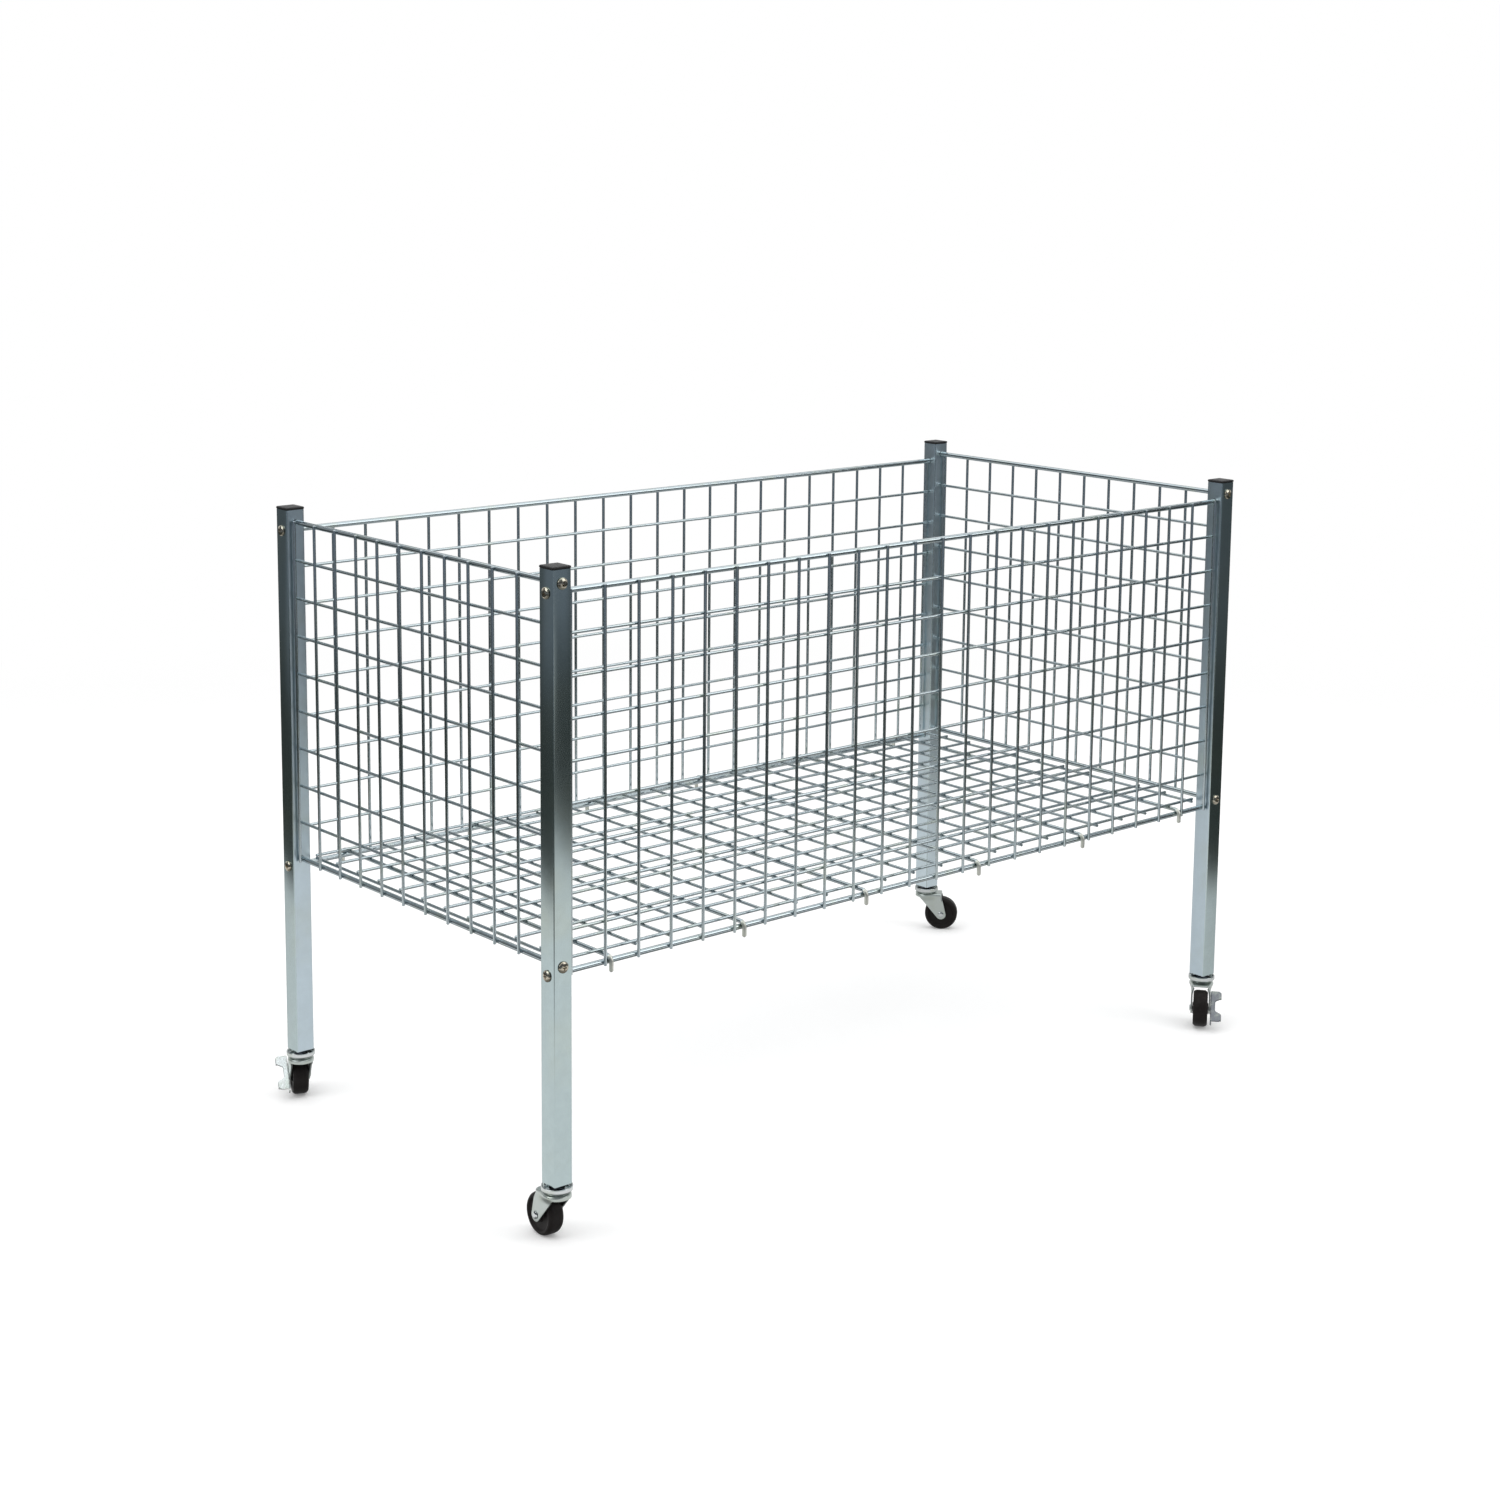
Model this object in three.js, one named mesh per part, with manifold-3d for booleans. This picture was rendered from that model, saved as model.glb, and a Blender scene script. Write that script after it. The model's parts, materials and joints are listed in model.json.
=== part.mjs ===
// Retail dump bin: a wheeled wire bin for loose goods. Four square tube posts carry two long and
// two short welded mesh panels, a wire shelf hangs on the long panels' bottom rails, and each post
// stands on a swivel caster, two of which have a rocking brake pedal.
//
// Millimetres, +Z up. X runs along the long sides and -Y is the front. The origin is on the floor,
// midway between the four posts.

import * as THREE from 'three';
import { mergeVertices } from 'three/addons/utils/BufferGeometryUtils.js';
import Module from 'manifold-3d';

const wasm = await Module();
wasm.setup();

// Fits
const FIT_GAP = 0.3; // clearance between seated pieces

// Posts and their end caps
const POST_SPACING_LONG = 1185; // between post axes, along X
const POST_SPACING_SHORT = 575; // between post axes, along Y
const POST_LENGTH = 733;
const POST_SIZE = 26;
const POST_WALL = 1.5;
const POST_CORNER = 1.5;
const CAP_HEIGHT = 3;
const CAP_LIP = 0.4; // overhang of the cap past the post
const CAP_BEVEL = 0.9;
const CAP_PLUG_LENGTH = 9;
const CAP_PLUG_WALL = 2;

// Mesh panels
const PANEL_HEIGHT = 450; // between the axes of the two rails
const RAIL_DIAMETER = 7;
const WIRE_DIAMETER = 4;
const LONG_GAPS = 23;
const SHORT_GAPS = 11;
const HEIGHT_GAPS = 9;
const EDGE_WIRE_OFFSET = 4.5; // post face to the axis of the outermost upright
const WIRE_OVERRUN = 3; // thin wires past the outermost upright
const UPRIGHT_ABOVE = 2.6; // uprights past the top rail's axis
const UPRIGHT_BELOW = 3.6; // uprights past the bottom rail's axis
const END_RAIL_DROP = 16.5; // post top to the short panels' top rail
const RAIL_STAGGER = 11.2; // long panels hang lower, so that rails pass in the posts
const RAIL_WELD = 0.35; // depth of an upright in a rail
const WIRE_WELD = 0.3; // depth of an edge upright in a thin wire
const RAIL_SIDES = 8;
const WIRE_SIDES = 6;

// Panel screws, from outside the post into the rail's end
const SCREW_DIAMETER = 4;
const SCREW_LENGTH = 14;
const SCREW_HEAD_DIAMETER = 14.2;
const SCREW_HEAD_HEIGHT = 3.2;
const SCREW_SIDES = 8;

// Shelf
const ROD_DIAMETER = 5.5;
const SHELF_END_GAP = 23.25; // short panel's rail axis to the outermost shelf wire
const SHELF_SIDE_GAP = 12; // long panel's rail axis to the shelf's edge wire
const SHELF_LONG_GAPS = 22;
const SHELF_SHORT_GAPS = 11;
const HOOK_FIRST = 1; // first wire that is a hook rod
const HOOK_EVERY = 4;
const HOOK_CLEARANCE = 0.9; // hook to the rail that it hangs on
const HOOK_DROP = 18.5; // rod axis down to the hook's tip
const HOOK_BEND_STEPS = 2;
const SHELF_WIRE_OVERRUN = 1.5; // shelf wires past the outermost crossing

// Casters
const WHEEL_DIAMETER = 53;
const WHEEL_WIDTH = 21;
const WHEEL_SHOULDER = 3;
const WHEEL_DISH = 2.5; // depth of the recess between hub and tread
const WHEEL_TREAD = 5;
const HUB_DIAMETER = 17;
const HUB_WIDTH = 23;
const WHEEL_SEGMENTS = 16;
const AXLE_DIAMETER = 6;
const AXLE_HEAD_DIAMETER = 10;
const AXLE_HEAD_HEIGHT = 1.8;
const TRAIL = 25; // swivel axis to axle
const FORK_PLATE = 2.5;
const FORK_LEG = 2.2;
const FORK_LEG_END = 8; // radius of a leg round the axle
const FORK_LEG_FRONT = 10; // leg ahead of the swivel axis, at the plate
const FORK_LEG_BACK = 24; // leg behind the swivel axis, at the plate
const FORK_SKIRT = 5.5; // plate's top to the legs' edge under it
const FORK_HEAD_DIAMETER = 35;
const FORK_TAIL = 26; // plate behind the swivel axis
const FORK_HEADROOM = 5; // wheel to the plate above it
const RACE_DIAMETER = 27;
const RACE_HEIGHT = 1.5;
const CUP_DIAMETER = 38;
const CUP_WALL = 1.6;
const CUP_FLOOR = 2.2;
const CUP_DEPTH = 5;
const STEM_DIAMETER = 10;
const STEM_LENGTH = 28; // in the post
const NUT_ACROSS_FLATS = 17;
const NUT_HEIGHT = 6.9;
const PIN_HEAD_DIAMETER = 15;
const PIN_HEAD_HEIGHT = 2;
const INSERT_LENGTH = 30;
const ROUND_SEGMENTS = 10;
const BORE_SIDES = 8;

// Brake pedals
const PEDAL_REACH = 20; // axle to the middle of a pad
const PEDAL_PLATE = 2;
const PEDAL_HEIGHT = 15;
const PEDAL_PAD_LENGTH = 13;
const PEDAL_PAD_WIDTH = 14; // pad outwards from the pedal's plate
const PEDAL_PAD_CORNER = 3;
const PEDAL_PAD_LIP = 3;
const PEDAL_WAIST = 5; // flange between the pads, outwards from the plate
const PEDAL_FLARE = 5; // length over which the waist widens to a pad
const PEDAL_TILT = 36; // degrees, at rest

// Directions in which the casters trail, in degrees from +X. A pedal has its back pad (1) or its
// front pad (-1) up, and 0 is a caster without a brake.
const CASTERS = {
  front_left: { x: -1, y: -1, trail: 88, padUp: 0 },
  front_right: { x: 1, y: -1, trail: 218.4, padUp: -1 },
  back_left: { x: -1, y: 1, trail: 66, padUp: 1 },
  back_right: { x: 1, y: 1, trail: -48, padUp: 0 },
};

// Radii
const railR = RAIL_DIAMETER / 2;
const wireR = WIRE_DIAMETER / 2;
const rodR = ROD_DIAMETER / 2;
const screwR = SCREW_DIAMETER / 2;
const axleR = AXLE_DIAMETER / 2;
const stemR = STEM_DIAMETER / 2;
const wheelR = WHEEL_DIAMETER / 2;

// Heights of the caster's stack, from the floor up
const plateBottom = WHEEL_DIAMETER + FORK_HEADROOM;
const plateTop = plateBottom + FORK_PLATE;
const cupBottom = plateTop + RACE_HEIGHT + FIT_GAP;
const cupFloor = cupBottom + CUP_FLOOR;
const nutBottom = cupFloor + FIT_GAP;
const postBottom = nutBottom + NUT_HEIGHT + FIT_GAP;

// Heights of posts, rails and shelf
const postTop = postBottom + POST_LENGTH;
const endRailTop = postTop - END_RAIL_DROP;
const endRailBottom = endRailTop - PANEL_HEIGHT;
const sideRailTop = endRailTop - RAIL_STAGGER;
const sideRailBottom = sideRailTop - PANEL_HEIGHT;
const rodHeight = sideRailBottom + railR + FIT_GAP + rodR;

const postInside = POST_SIZE - 2 * POST_WALL;
const railBoreDepth = SCREW_LENGTH - POST_WALL + FIT_GAP;

// Materials
const zinc = { color: 0xaab6b9, roughness: 0.32, metalness: 0.9 };
const brightZinc = { color: 0xc9d0cf, roughness: 0.22, metalness: 0.95 };
const yellowZinc = { color: 0xb9ad86, roughness: 0.3, metalness: 0.9 };
const paleZinc = { color: 0xb9c2bb, roughness: 0.45, metalness: 0.8 };
const blackPlastic = { color: 0x161616, roughness: 0.45, metalness: 0 };
const greyNylon = { color: 0x4a4d4f, roughness: 0.6, metalness: 0 };
const rubber = { color: 0x1c1a19, roughness: 0.7, metalness: 0 };

// Closed solid of a geometry, for joining and cutting
function solid(geometry) {
  const bare = geometry.clone();
  bare.deleteAttribute('normal');
  bare.deleteAttribute('uv');
  const merged = mergeVertices(bare, 1e-4);
  return new wasm.Manifold(
    new wasm.Mesh({
      numProp: 3,
      vertProperties: new Float32Array(merged.attributes.position.array),
      triVerts: new Uint32Array(merged.index.array),
    }),
  );
}

function geometryOf(body) {
  const mesh = body.getMesh();
  const geometry = new THREE.BufferGeometry();
  geometry.setAttribute('position', new THREE.BufferAttribute(mesh.vertProperties, 3));
  geometry.setIndex(new THREE.BufferAttribute(mesh.triVerts, 1));
  geometry.computeVertexNormals();
  return geometry;
}

function join(geometries) {
  return geometries.map(solid).reduce((all, next) => all.add(next));
}

function cut(body, geometries) {
  return geometries.reduce((left, next) => left.subtract(solid(next)), body);
}

// Regular polygon with a corner on +Y, or at another angle
function polygon(radius, sides, start = Math.PI / 2) {
  const points = [];
  for (let i = 0; i < sides; i++) {
    const angle = start + (2 * Math.PI * i) / sides;
    points.push(new THREE.Vector2(radius * Math.cos(angle), radius * Math.sin(angle)));
  }
  return new THREE.Shape(points);
}

// Radius to the corners of a polygon drawn round a circle
function around(radius, sides) {
  return radius / Math.cos(Math.PI / sides);
}

function roundedSquare(size, corner) {
  const h = size / 2 - corner;
  const shape = new THREE.Shape();
  shape.absarc(h, h, corner, 0, Math.PI / 2);
  shape.absarc(-h, h, corner, Math.PI / 2, Math.PI);
  shape.absarc(-h, -h, corner, Math.PI, 1.5 * Math.PI);
  shape.absarc(h, -h, corner, 1.5 * Math.PI, 2 * Math.PI);
  return shape;
}

function square(size) {
  const h = size / 2;
  return [
    new THREE.Vector2(-h, -h),
    new THREE.Vector2(h, -h),
    new THREE.Vector2(h, h),
    new THREE.Vector2(-h, h),
  ];
}

// Straight bar centred on the origin, along Z
function bar(shape, length, curveSegments = 2) {
  const geometry = new THREE.ExtrudeGeometry(shape, { depth: length, bevelEnabled: false, curveSegments });
  return geometry.translate(0, 0, -length / 2);
}

// Bar along X, with the shape's Y kept as Y
function barX(shape, length) {
  return bar(shape, length).rotateY(Math.PI / 2);
}

// Bar along Y, with the shape's Y turned up to Z
function barY(shape, length) {
  return bar(shape, length).rotateX(Math.PI / 2);
}

// Solid of revolution about Z from [radius, height] pairs
function revolve(profile, segments) {
  const points = profile.map(([radius, height]) => new THREE.Vector2(radius, height));
  return new THREE.LatheGeometry(points, segments).rotateX(Math.PI / 2);
}

// Mesh panel in its own plane: X along the span, -Y outwards, Z up from the bottom rail's axis.
// Uprights lie outside the rails, thin wires inside the uprights. The two edge uprights carry the
// thin wires, and the others pass just outside them.
function meshPanel(span, gaps) {
  const edge = (span - POST_SIZE) / 2 - EDGE_WIRE_OFFSET;
  const standOff = WIRE_WELD + FIT_GAP;
  const uprightY = -(railR + wireR - RAIL_WELD);
  const edgeY = uprightY + standOff;
  const wireY = edgeY + WIRE_DIAMETER - WIRE_WELD;
  const wireShape = polygon(wireR, WIRE_SIDES);
  const railShape = polygon(railR, RAIL_SIDES);
  const railLength = span + postInside - 2 * FIT_GAP;
  const pieces = [];
  for (const z of [0, PANEL_HEIGHT]) {
    pieces.push(barX(railShape, railLength).translate(0, 0, z));
  }
  const uprightLength = PANEL_HEIGHT + UPRIGHT_ABOVE + UPRIGHT_BELOW;
  for (let i = 0; i <= gaps; i++) {
    const x = -edge + (2 * edge * i) / gaps;
    const y = i === 0 || i === gaps ? edgeY : uprightY;
    const z = uprightLength / 2 - UPRIGHT_BELOW;
    pieces.push(bar(wireShape, uprightLength).translate(x, y, z));
  }
  for (let k = 1; k < HEIGHT_GAPS; k++) {
    const z = (PANEL_HEIGHT * k) / HEIGHT_GAPS;
    pieces.push(barX(wireShape, 2 * (edge + WIRE_OVERRUN)).translate(0, wireY, z));
  }
  const boreShape = polygon(around(screwR + FIT_GAP, WIRE_SIDES), WIRE_SIDES);
  const bores = [];
  for (const side of [-1, 1]) {
    for (const z of [0, PANEL_HEIGHT]) {
      bores.push(barX(boreShape, 2 * railBoreDepth).translate((side * railLength) / 2, 0, z));
    }
  }
  return geometryOf(cut(join(pieces), bores));
}

// Square tube. Each rail comes in through the wall that faces the bin and ends on the wall
// opposite, where its screw goes in. x and y say on which side of the bin the post stands.
function post(x, y) {
  const middle = postBottom + POST_LENGTH / 2;
  const outside = bar(roundedSquare(POST_SIZE, POST_CORNER), POST_LENGTH, 1).translate(0, 0, middle);
  const inside = bar(new THREE.Shape(square(postInside)), 2 * POST_LENGTH).translate(0, 0, middle);
  const railHole = polygon(around(railR + FIT_GAP, BORE_SIDES), BORE_SIDES);
  const screwHole = polygon(around(screwR + FIT_GAP, WIRE_SIDES), WIRE_SIDES);
  const reach = (POST_SIZE + postInside) / 4;
  const depth = 2 * POST_WALL;
  const holes = [inside];
  for (const z of [sideRailTop, sideRailBottom]) {
    holes.push(barX(railHole, depth).translate(-x * reach, 0, z));
    holes.push(barX(screwHole, depth).translate(x * reach, 0, z));
  }
  for (const z of [endRailTop, endRailBottom]) {
    holes.push(barY(railHole, depth).translate(0, -y * reach, z));
    holes.push(barY(screwHole, depth).translate(0, y * reach, z));
  }
  return geometryOf(cut(solid(outside), holes));
}

// Cap with a bevelled head and a hollow plug in the post
function postCap() {
  const head = new THREE.ExtrudeGeometry(
    roundedSquare(POST_SIZE + 2 * (CAP_LIP - CAP_BEVEL), POST_CORNER),
    {
      depth: CAP_HEIGHT - 2 * CAP_BEVEL,
      bevelThickness: CAP_BEVEL,
      bevelSize: CAP_BEVEL,
      bevelSegments: 1,
      curveSegments: 1,
    },
  ).translate(0, 0, CAP_BEVEL);
  const plugSize = postInside - 2 * FIT_GAP;
  const plugLength = CAP_PLUG_LENGTH + FIT_GAP;
  const overlap = CAP_HEIGHT / 2;
  const plug = bar(new THREE.Shape(square(plugSize)), plugLength + overlap);
  plug.translate(0, 0, (overlap - plugLength) / 2);
  const hollow = bar(new THREE.Shape(square(plugSize - 2 * CAP_PLUG_WALL)), 2 * plugLength);
  hollow.translate(0, 0, -plugLength);
  return geometryOf(cut(join([head, plug]), [hollow]));
}

// Screw along Z: head above the origin, shank below
function screw() {
  const headR = SCREW_HEAD_DIAMETER / 2;
  return revolve(
    [
      [0, -SCREW_LENGTH],
      [screwR, -SCREW_LENGTH],
      [screwR, 0],
      [headR, 0],
      [headR * 0.8, SCREW_HEAD_HEIGHT * 0.65],
      [0, SCREW_HEAD_HEIGHT],
    ],
    SCREW_SIDES,
  );
}

// Path of a bent rod through given points, one section at each point
class RodPath extends THREE.Curve {
  constructor(points) {
    super();
    this.points = points;
  }

  getPoint(t) {
    const last = this.points.length - 1;
    const i = Math.min(Math.floor(t * last), last - 1);
    return new THREE.Vector3().lerpVectors(this.points[i], this.points[i + 1], t * last - i);
  }

  getUtoTmapping(u) {
    return u;
  }
}

// Hook rod across the bin, bent down outside the rails at both ends
function hookRod(x) {
  const bend = railR + HOOK_CLEARANCE + rodR;
  const half = [new THREE.Vector3(x, POST_SPACING_SHORT / 2 + bend, -HOOK_DROP)];
  for (let i = 0; i <= HOOK_BEND_STEPS; i++) {
    const angle = ((Math.PI / 2) * i) / HOOK_BEND_STEPS;
    const y = POST_SPACING_SHORT / 2 + bend * Math.cos(angle);
    half.push(new THREE.Vector3(x, y, bend * (Math.sin(angle) - 1)));
  }
  const mirrored = half.map((p) => new THREE.Vector3(p.x, -p.y, p.z)).reverse();
  const points = half.concat(mirrored);
  return new THREE.ExtrudeGeometry(polygon(rodR, WIRE_SIDES, 0), {
    steps: points.length - 1,
    extrudePath: new RodPath(points),
  });
}

// Shelf grid, with its origin on the axes of the hook rods. The long wires lie on the rods. The
// two edge wires sit lower, and the thin cross wires are welded to them from below.
function shelf() {
  const halfX = POST_SPACING_LONG / 2 - SHELF_END_GAP;
  const halfY = POST_SPACING_SHORT / 2 - SHELF_SIDE_GAP;
  const standOff = WIRE_WELD + FIT_GAP;
  const longZ = rodR + wireR - RAIL_WELD;
  const edgeZ = longZ - standOff;
  const crossZ = edgeZ - WIRE_DIAMETER + WIRE_WELD;
  const wireShape = polygon(wireR, WIRE_SIDES);
  const pieces = [];
  for (let i = 0; i <= SHELF_LONG_GAPS; i++) {
    const x = -halfX + (2 * halfX * i) / SHELF_LONG_GAPS;
    const isHook = i % HOOK_EVERY === HOOK_FIRST;
    const cross = () => barY(wireShape, 2 * (halfY + SHELF_WIRE_OVERRUN)).translate(x, 0, crossZ);
    pieces.push(isHook ? hookRod(x) : cross());
  }
  for (let k = 0; k <= SHELF_SHORT_GAPS; k++) {
    const y = -halfY + (2 * halfY * k) / SHELF_SHORT_GAPS;
    const z = k === 0 || k === SHELF_SHORT_GAPS ? edgeZ : longZ;
    const long = barX(wireShape, 2 * (halfX + SHELF_WIRE_OVERRUN)).rotateX(Math.PI / 2);
    pieces.push(long.translate(0, y, z));
  }
  return geometryOf(join(pieces));
}

// Threaded insert in the foot of a post
function insert() {
  const section = new THREE.Shape(square(postInside - 2 * FIT_GAP));
  section.holes.push(new THREE.Path(polygon(around(stemR + FIT_GAP, BORE_SIDES), BORE_SIDES).getPoints()));
  return bar(section, INSERT_LENGTH).translate(0, 0, postBottom + INSERT_LENGTH / 2);
}

// Stem with the fixed upper cup of the swivel and the pin head under the fork's plate
function stem() {
  const cupR = CUP_DIAMETER / 2;
  const headTop = plateBottom - FIT_GAP;
  const headR = PIN_HEAD_DIAMETER / 2;
  return revolve(
    [
      [0, headTop - PIN_HEAD_HEIGHT],
      [headR, headTop - PIN_HEAD_HEIGHT],
      [headR, headTop],
      [stemR, headTop],
      [stemR, cupBottom],
      [cupR - CUP_WALL, cupBottom],
      [cupR, cupFloor],
      [cupR, cupFloor + CUP_DEPTH],
      [cupR - CUP_WALL, cupFloor + CUP_DEPTH],
      [cupR - CUP_WALL, cupFloor],
      [stemR, cupFloor],
      [stemR, postBottom + STEM_LENGTH],
      [0, postBottom + STEM_LENGTH],
    ],
    ROUND_SEGMENTS,
  );
}

function stemNut() {
  const section = polygon(around(NUT_ACROSS_FLATS / 2, 6), 6);
  section.holes.push(new THREE.Path(polygon(around(stemR + FIT_GAP, BORE_SIDES), BORE_SIDES).getPoints()));
  return bar(section, NUT_HEIGHT).translate(0, 0, nutBottom + NUT_HEIGHT / 2);
}

const legInside = HUB_WIDTH / 2 + FIT_GAP;
const legOutside = legInside + FORK_LEG;

// Pressed fork, trailing along +X: plate with a raised race, and a leg on each side of the wheel
function fork() {
  const headR = FORK_HEAD_DIAMETER / 2;
  const outline = new THREE.Shape();
  outline.absarc(0, 0, headR, Math.PI / 2, 1.5 * Math.PI);
  outline.lineTo(FORK_TAIL - FORK_LEG, -legOutside);
  outline.lineTo(FORK_TAIL, -legInside + FORK_LEG);
  outline.lineTo(FORK_TAIL, legInside - FORK_LEG);
  outline.lineTo(FORK_TAIL - FORK_LEG, legOutside);
  const plate = bar(outline, FORK_PLATE, 4).translate(0, 0, plateBottom + FORK_PLATE / 2);
  const race = bar(polygon(RACE_DIAMETER / 2, ROUND_SEGMENTS), RACE_HEIGHT + FORK_PLATE / 2);
  race.translate(0, 0, plateTop + (RACE_HEIGHT - FORK_PLATE / 2) / 2);

  const legTop = plateBottom + FORK_PLATE / 2;
  const skirt = plateTop - FORK_SKIRT;
  const legEdge = new THREE.Vector2(-FORK_LEG_FRONT - TRAIL, skirt - wheelR);
  const tangent = legEdge.angle() + Math.acos(FORK_LEG_END / legEdge.length());
  const profile = new THREE.Shape();
  profile.moveTo(-FORK_LEG_FRONT, legTop);
  profile.lineTo(-FORK_LEG_FRONT, skirt);
  profile.absarc(TRAIL, wheelR, FORK_LEG_END, tangent, 2.05 * Math.PI);
  profile.lineTo(FORK_LEG_BACK, plateBottom - FORK_PLATE);
  profile.lineTo(FORK_TAIL - FORK_LEG, legTop);
  const leg = bar(profile, FORK_LEG, 3).rotateX(Math.PI / 2);
  const legs = [-1, 1].map((side) => leg.clone().translate(0, (side * (legInside + legOutside)) / 2, 0));

  const pinHole = bar(polygon(around(stemR + FIT_GAP, ROUND_SEGMENTS), ROUND_SEGMENTS), 4 * FORK_PLATE);
  pinHole.translate(0, 0, plateTop);
  const axleHole = barY(polygon(around(axleR + FIT_GAP, BORE_SIDES), BORE_SIDES), 3 * legOutside);
  axleHole.translate(TRAIL, 0, wheelR);
  return geometryOf(cut(join([plate, race, ...legs]), [pinHole, axleHole]));
}

// Riveted axle along Y. A braked caster's axle also carries the pedal, on its +Y end.
function axle(padUp) {
  const near = legOutside + FIT_GAP;
  const far = near + (padUp === 0 ? 0 : PEDAL_PLATE + FIT_GAP);
  const headR = AXLE_HEAD_DIAMETER / 2;
  return revolve(
    [
      [0, -near - AXLE_HEAD_HEIGHT],
      [headR, -near - AXLE_HEAD_HEIGHT],
      [headR, -near],
      [axleR, -near],
      [axleR, far],
      [headR, far],
      [headR, far + AXLE_HEAD_HEIGHT],
      [0, far + AXLE_HEAD_HEIGHT],
    ],
    BORE_SIDES,
  )
    .rotateX(-Math.PI / 2)
    .translate(TRAIL, 0, wheelR);
}

// Wheel about Y: hub, dished sides and a tread with eased shoulders
function wheel() {
  const rim = around(wheelR, WHEEL_SEGMENTS);
  const bore = around(axleR + FIT_GAP, WHEEL_SEGMENTS);
  const half = [
    [bore, HUB_WIDTH / 2],
    [HUB_DIAMETER / 2, HUB_WIDTH / 2],
    [HUB_DIAMETER / 2, WHEEL_WIDTH / 2 - WHEEL_DISH],
    [rim - WHEEL_TREAD, WHEEL_WIDTH / 2],
    [rim, WHEEL_WIDTH / 2 - WHEEL_SHOULDER],
  ];
  const mirrored = half.map(([radius, height]) => [radius, -height]);
  const profile = mirrored.concat([...half].reverse(), [mirrored[0]]);
  return revolve(profile, WHEEL_SEGMENTS)
    .rotateZ(Math.PI / WHEEL_SEGMENTS)
    .rotateX(-Math.PI / 2)
    .translate(TRAIL, 0, wheelR);
}

// Rocking pedal on the +Y end of the axle: a plate beside the fork, with a flange along its top
// that widens to a lipped foot pad at each end
function brakePedal(padUp) {
  const h = PEDAL_HEIGHT / 2;
  const inner = -PEDAL_PLATE / 2;
  const waist = PEDAL_PLATE / 2 + PEDAL_WAIST;
  const padOut = PEDAL_PLATE / 2 + PEDAL_PAD_WIDTH;
  const padNear = PEDAL_REACH - PEDAL_PAD_LENGTH / 2;
  const padFar = PEDAL_REACH + PEDAL_PAD_LENGTH / 2;
  const side = new THREE.Shape();
  side.absarc(PEDAL_REACH, 0, h, -Math.PI / 2, Math.PI / 2);
  side.absarc(-PEDAL_REACH, 0, h, Math.PI / 2, 1.5 * Math.PI);
  const plate = bar(side, PEDAL_PLATE, 3).rotateX(Math.PI / 2);
  const wing = [
    [padFar, inner],
    [padFar, padOut - PEDAL_PAD_CORNER],
    [padFar - PEDAL_PAD_CORNER, padOut],
    [padNear, padOut],
    [padNear - PEDAL_FLARE, waist],
  ];
  const mirrored = wing.map(([x, y]) => [-x, y]).reverse();
  const plan = wing.concat(mirrored).map(([x, y]) => new THREE.Vector2(x, y));
  const flange = bar(new THREE.Shape(plan), PEDAL_PLATE).translate(0, 0, h - PEDAL_PLATE / 2);
  const lipLength = PEDAL_PAD_LENGTH - PEDAL_PAD_CORNER;
  const lips = [-1, 1].map((end) => {
    const lip = new THREE.BoxGeometry(lipLength, PEDAL_PLATE, PEDAL_PLATE + PEDAL_PAD_LIP);
    const x = end * (padNear + lipLength / 2);
    return lip.translate(x, padOut - PEDAL_PLATE / 2, h - (PEDAL_PLATE + PEDAL_PAD_LIP) / 2);
  });
  const hole = barY(polygon(around(axleR + FIT_GAP, BORE_SIDES), BORE_SIDES), 2 * PEDAL_PLATE);
  const pedal = geometryOf(cut(join([plate, flange, ...lips]), [hole]));
  return pedal
    .rotateY(-padUp * THREE.MathUtils.degToRad(PEDAL_TILT))
    .translate(TRAIL, legOutside + FIT_GAP + PEDAL_PLATE / 2, wheelR);
}

function piece(name, geometry, material) {
  const mesh = new THREE.Mesh(geometry, new THREE.MeshStandardMaterial(material));
  mesh.name = name;
  return mesh;
}

const bin = new THREE.Group();

// Panels, turned so that their outer side faces away from the bin
const longPanel = meshPanel(POST_SPACING_LONG, LONG_GAPS);
const shortPanel = meshPanel(POST_SPACING_SHORT, SHORT_GAPS);
const panels = [
  { name: 'panel_front', shape: longPanel, x: 0, y: -1, turn: 0 },
  { name: 'panel_back', shape: longPanel, x: 0, y: 1, turn: Math.PI },
  { name: 'panel_left', shape: shortPanel, x: -1, y: 0, turn: -Math.PI / 2 },
  { name: 'panel_right', shape: shortPanel, x: 1, y: 0, turn: Math.PI / 2 },
];
for (const { name, shape, x, y, turn } of panels) {
  const panel = piece(name, shape, zinc);
  const height = x === 0 ? sideRailBottom : endRailBottom;
  panel.position.set((x * POST_SPACING_LONG) / 2, (y * POST_SPACING_SHORT) / 2, height);
  panel.rotation.z = turn;
  bin.add(panel);
}

const grid = piece('shelf', shelf(), brightZinc);
grid.position.z = rodHeight;
bin.add(grid);

const capShape = postCap();
const screwShape = screw();
const insertShape = insert();
const stemShape = stem();
const nutShape = stemNut();
const forkShape = fork();
const wheelShape = wheel();

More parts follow.
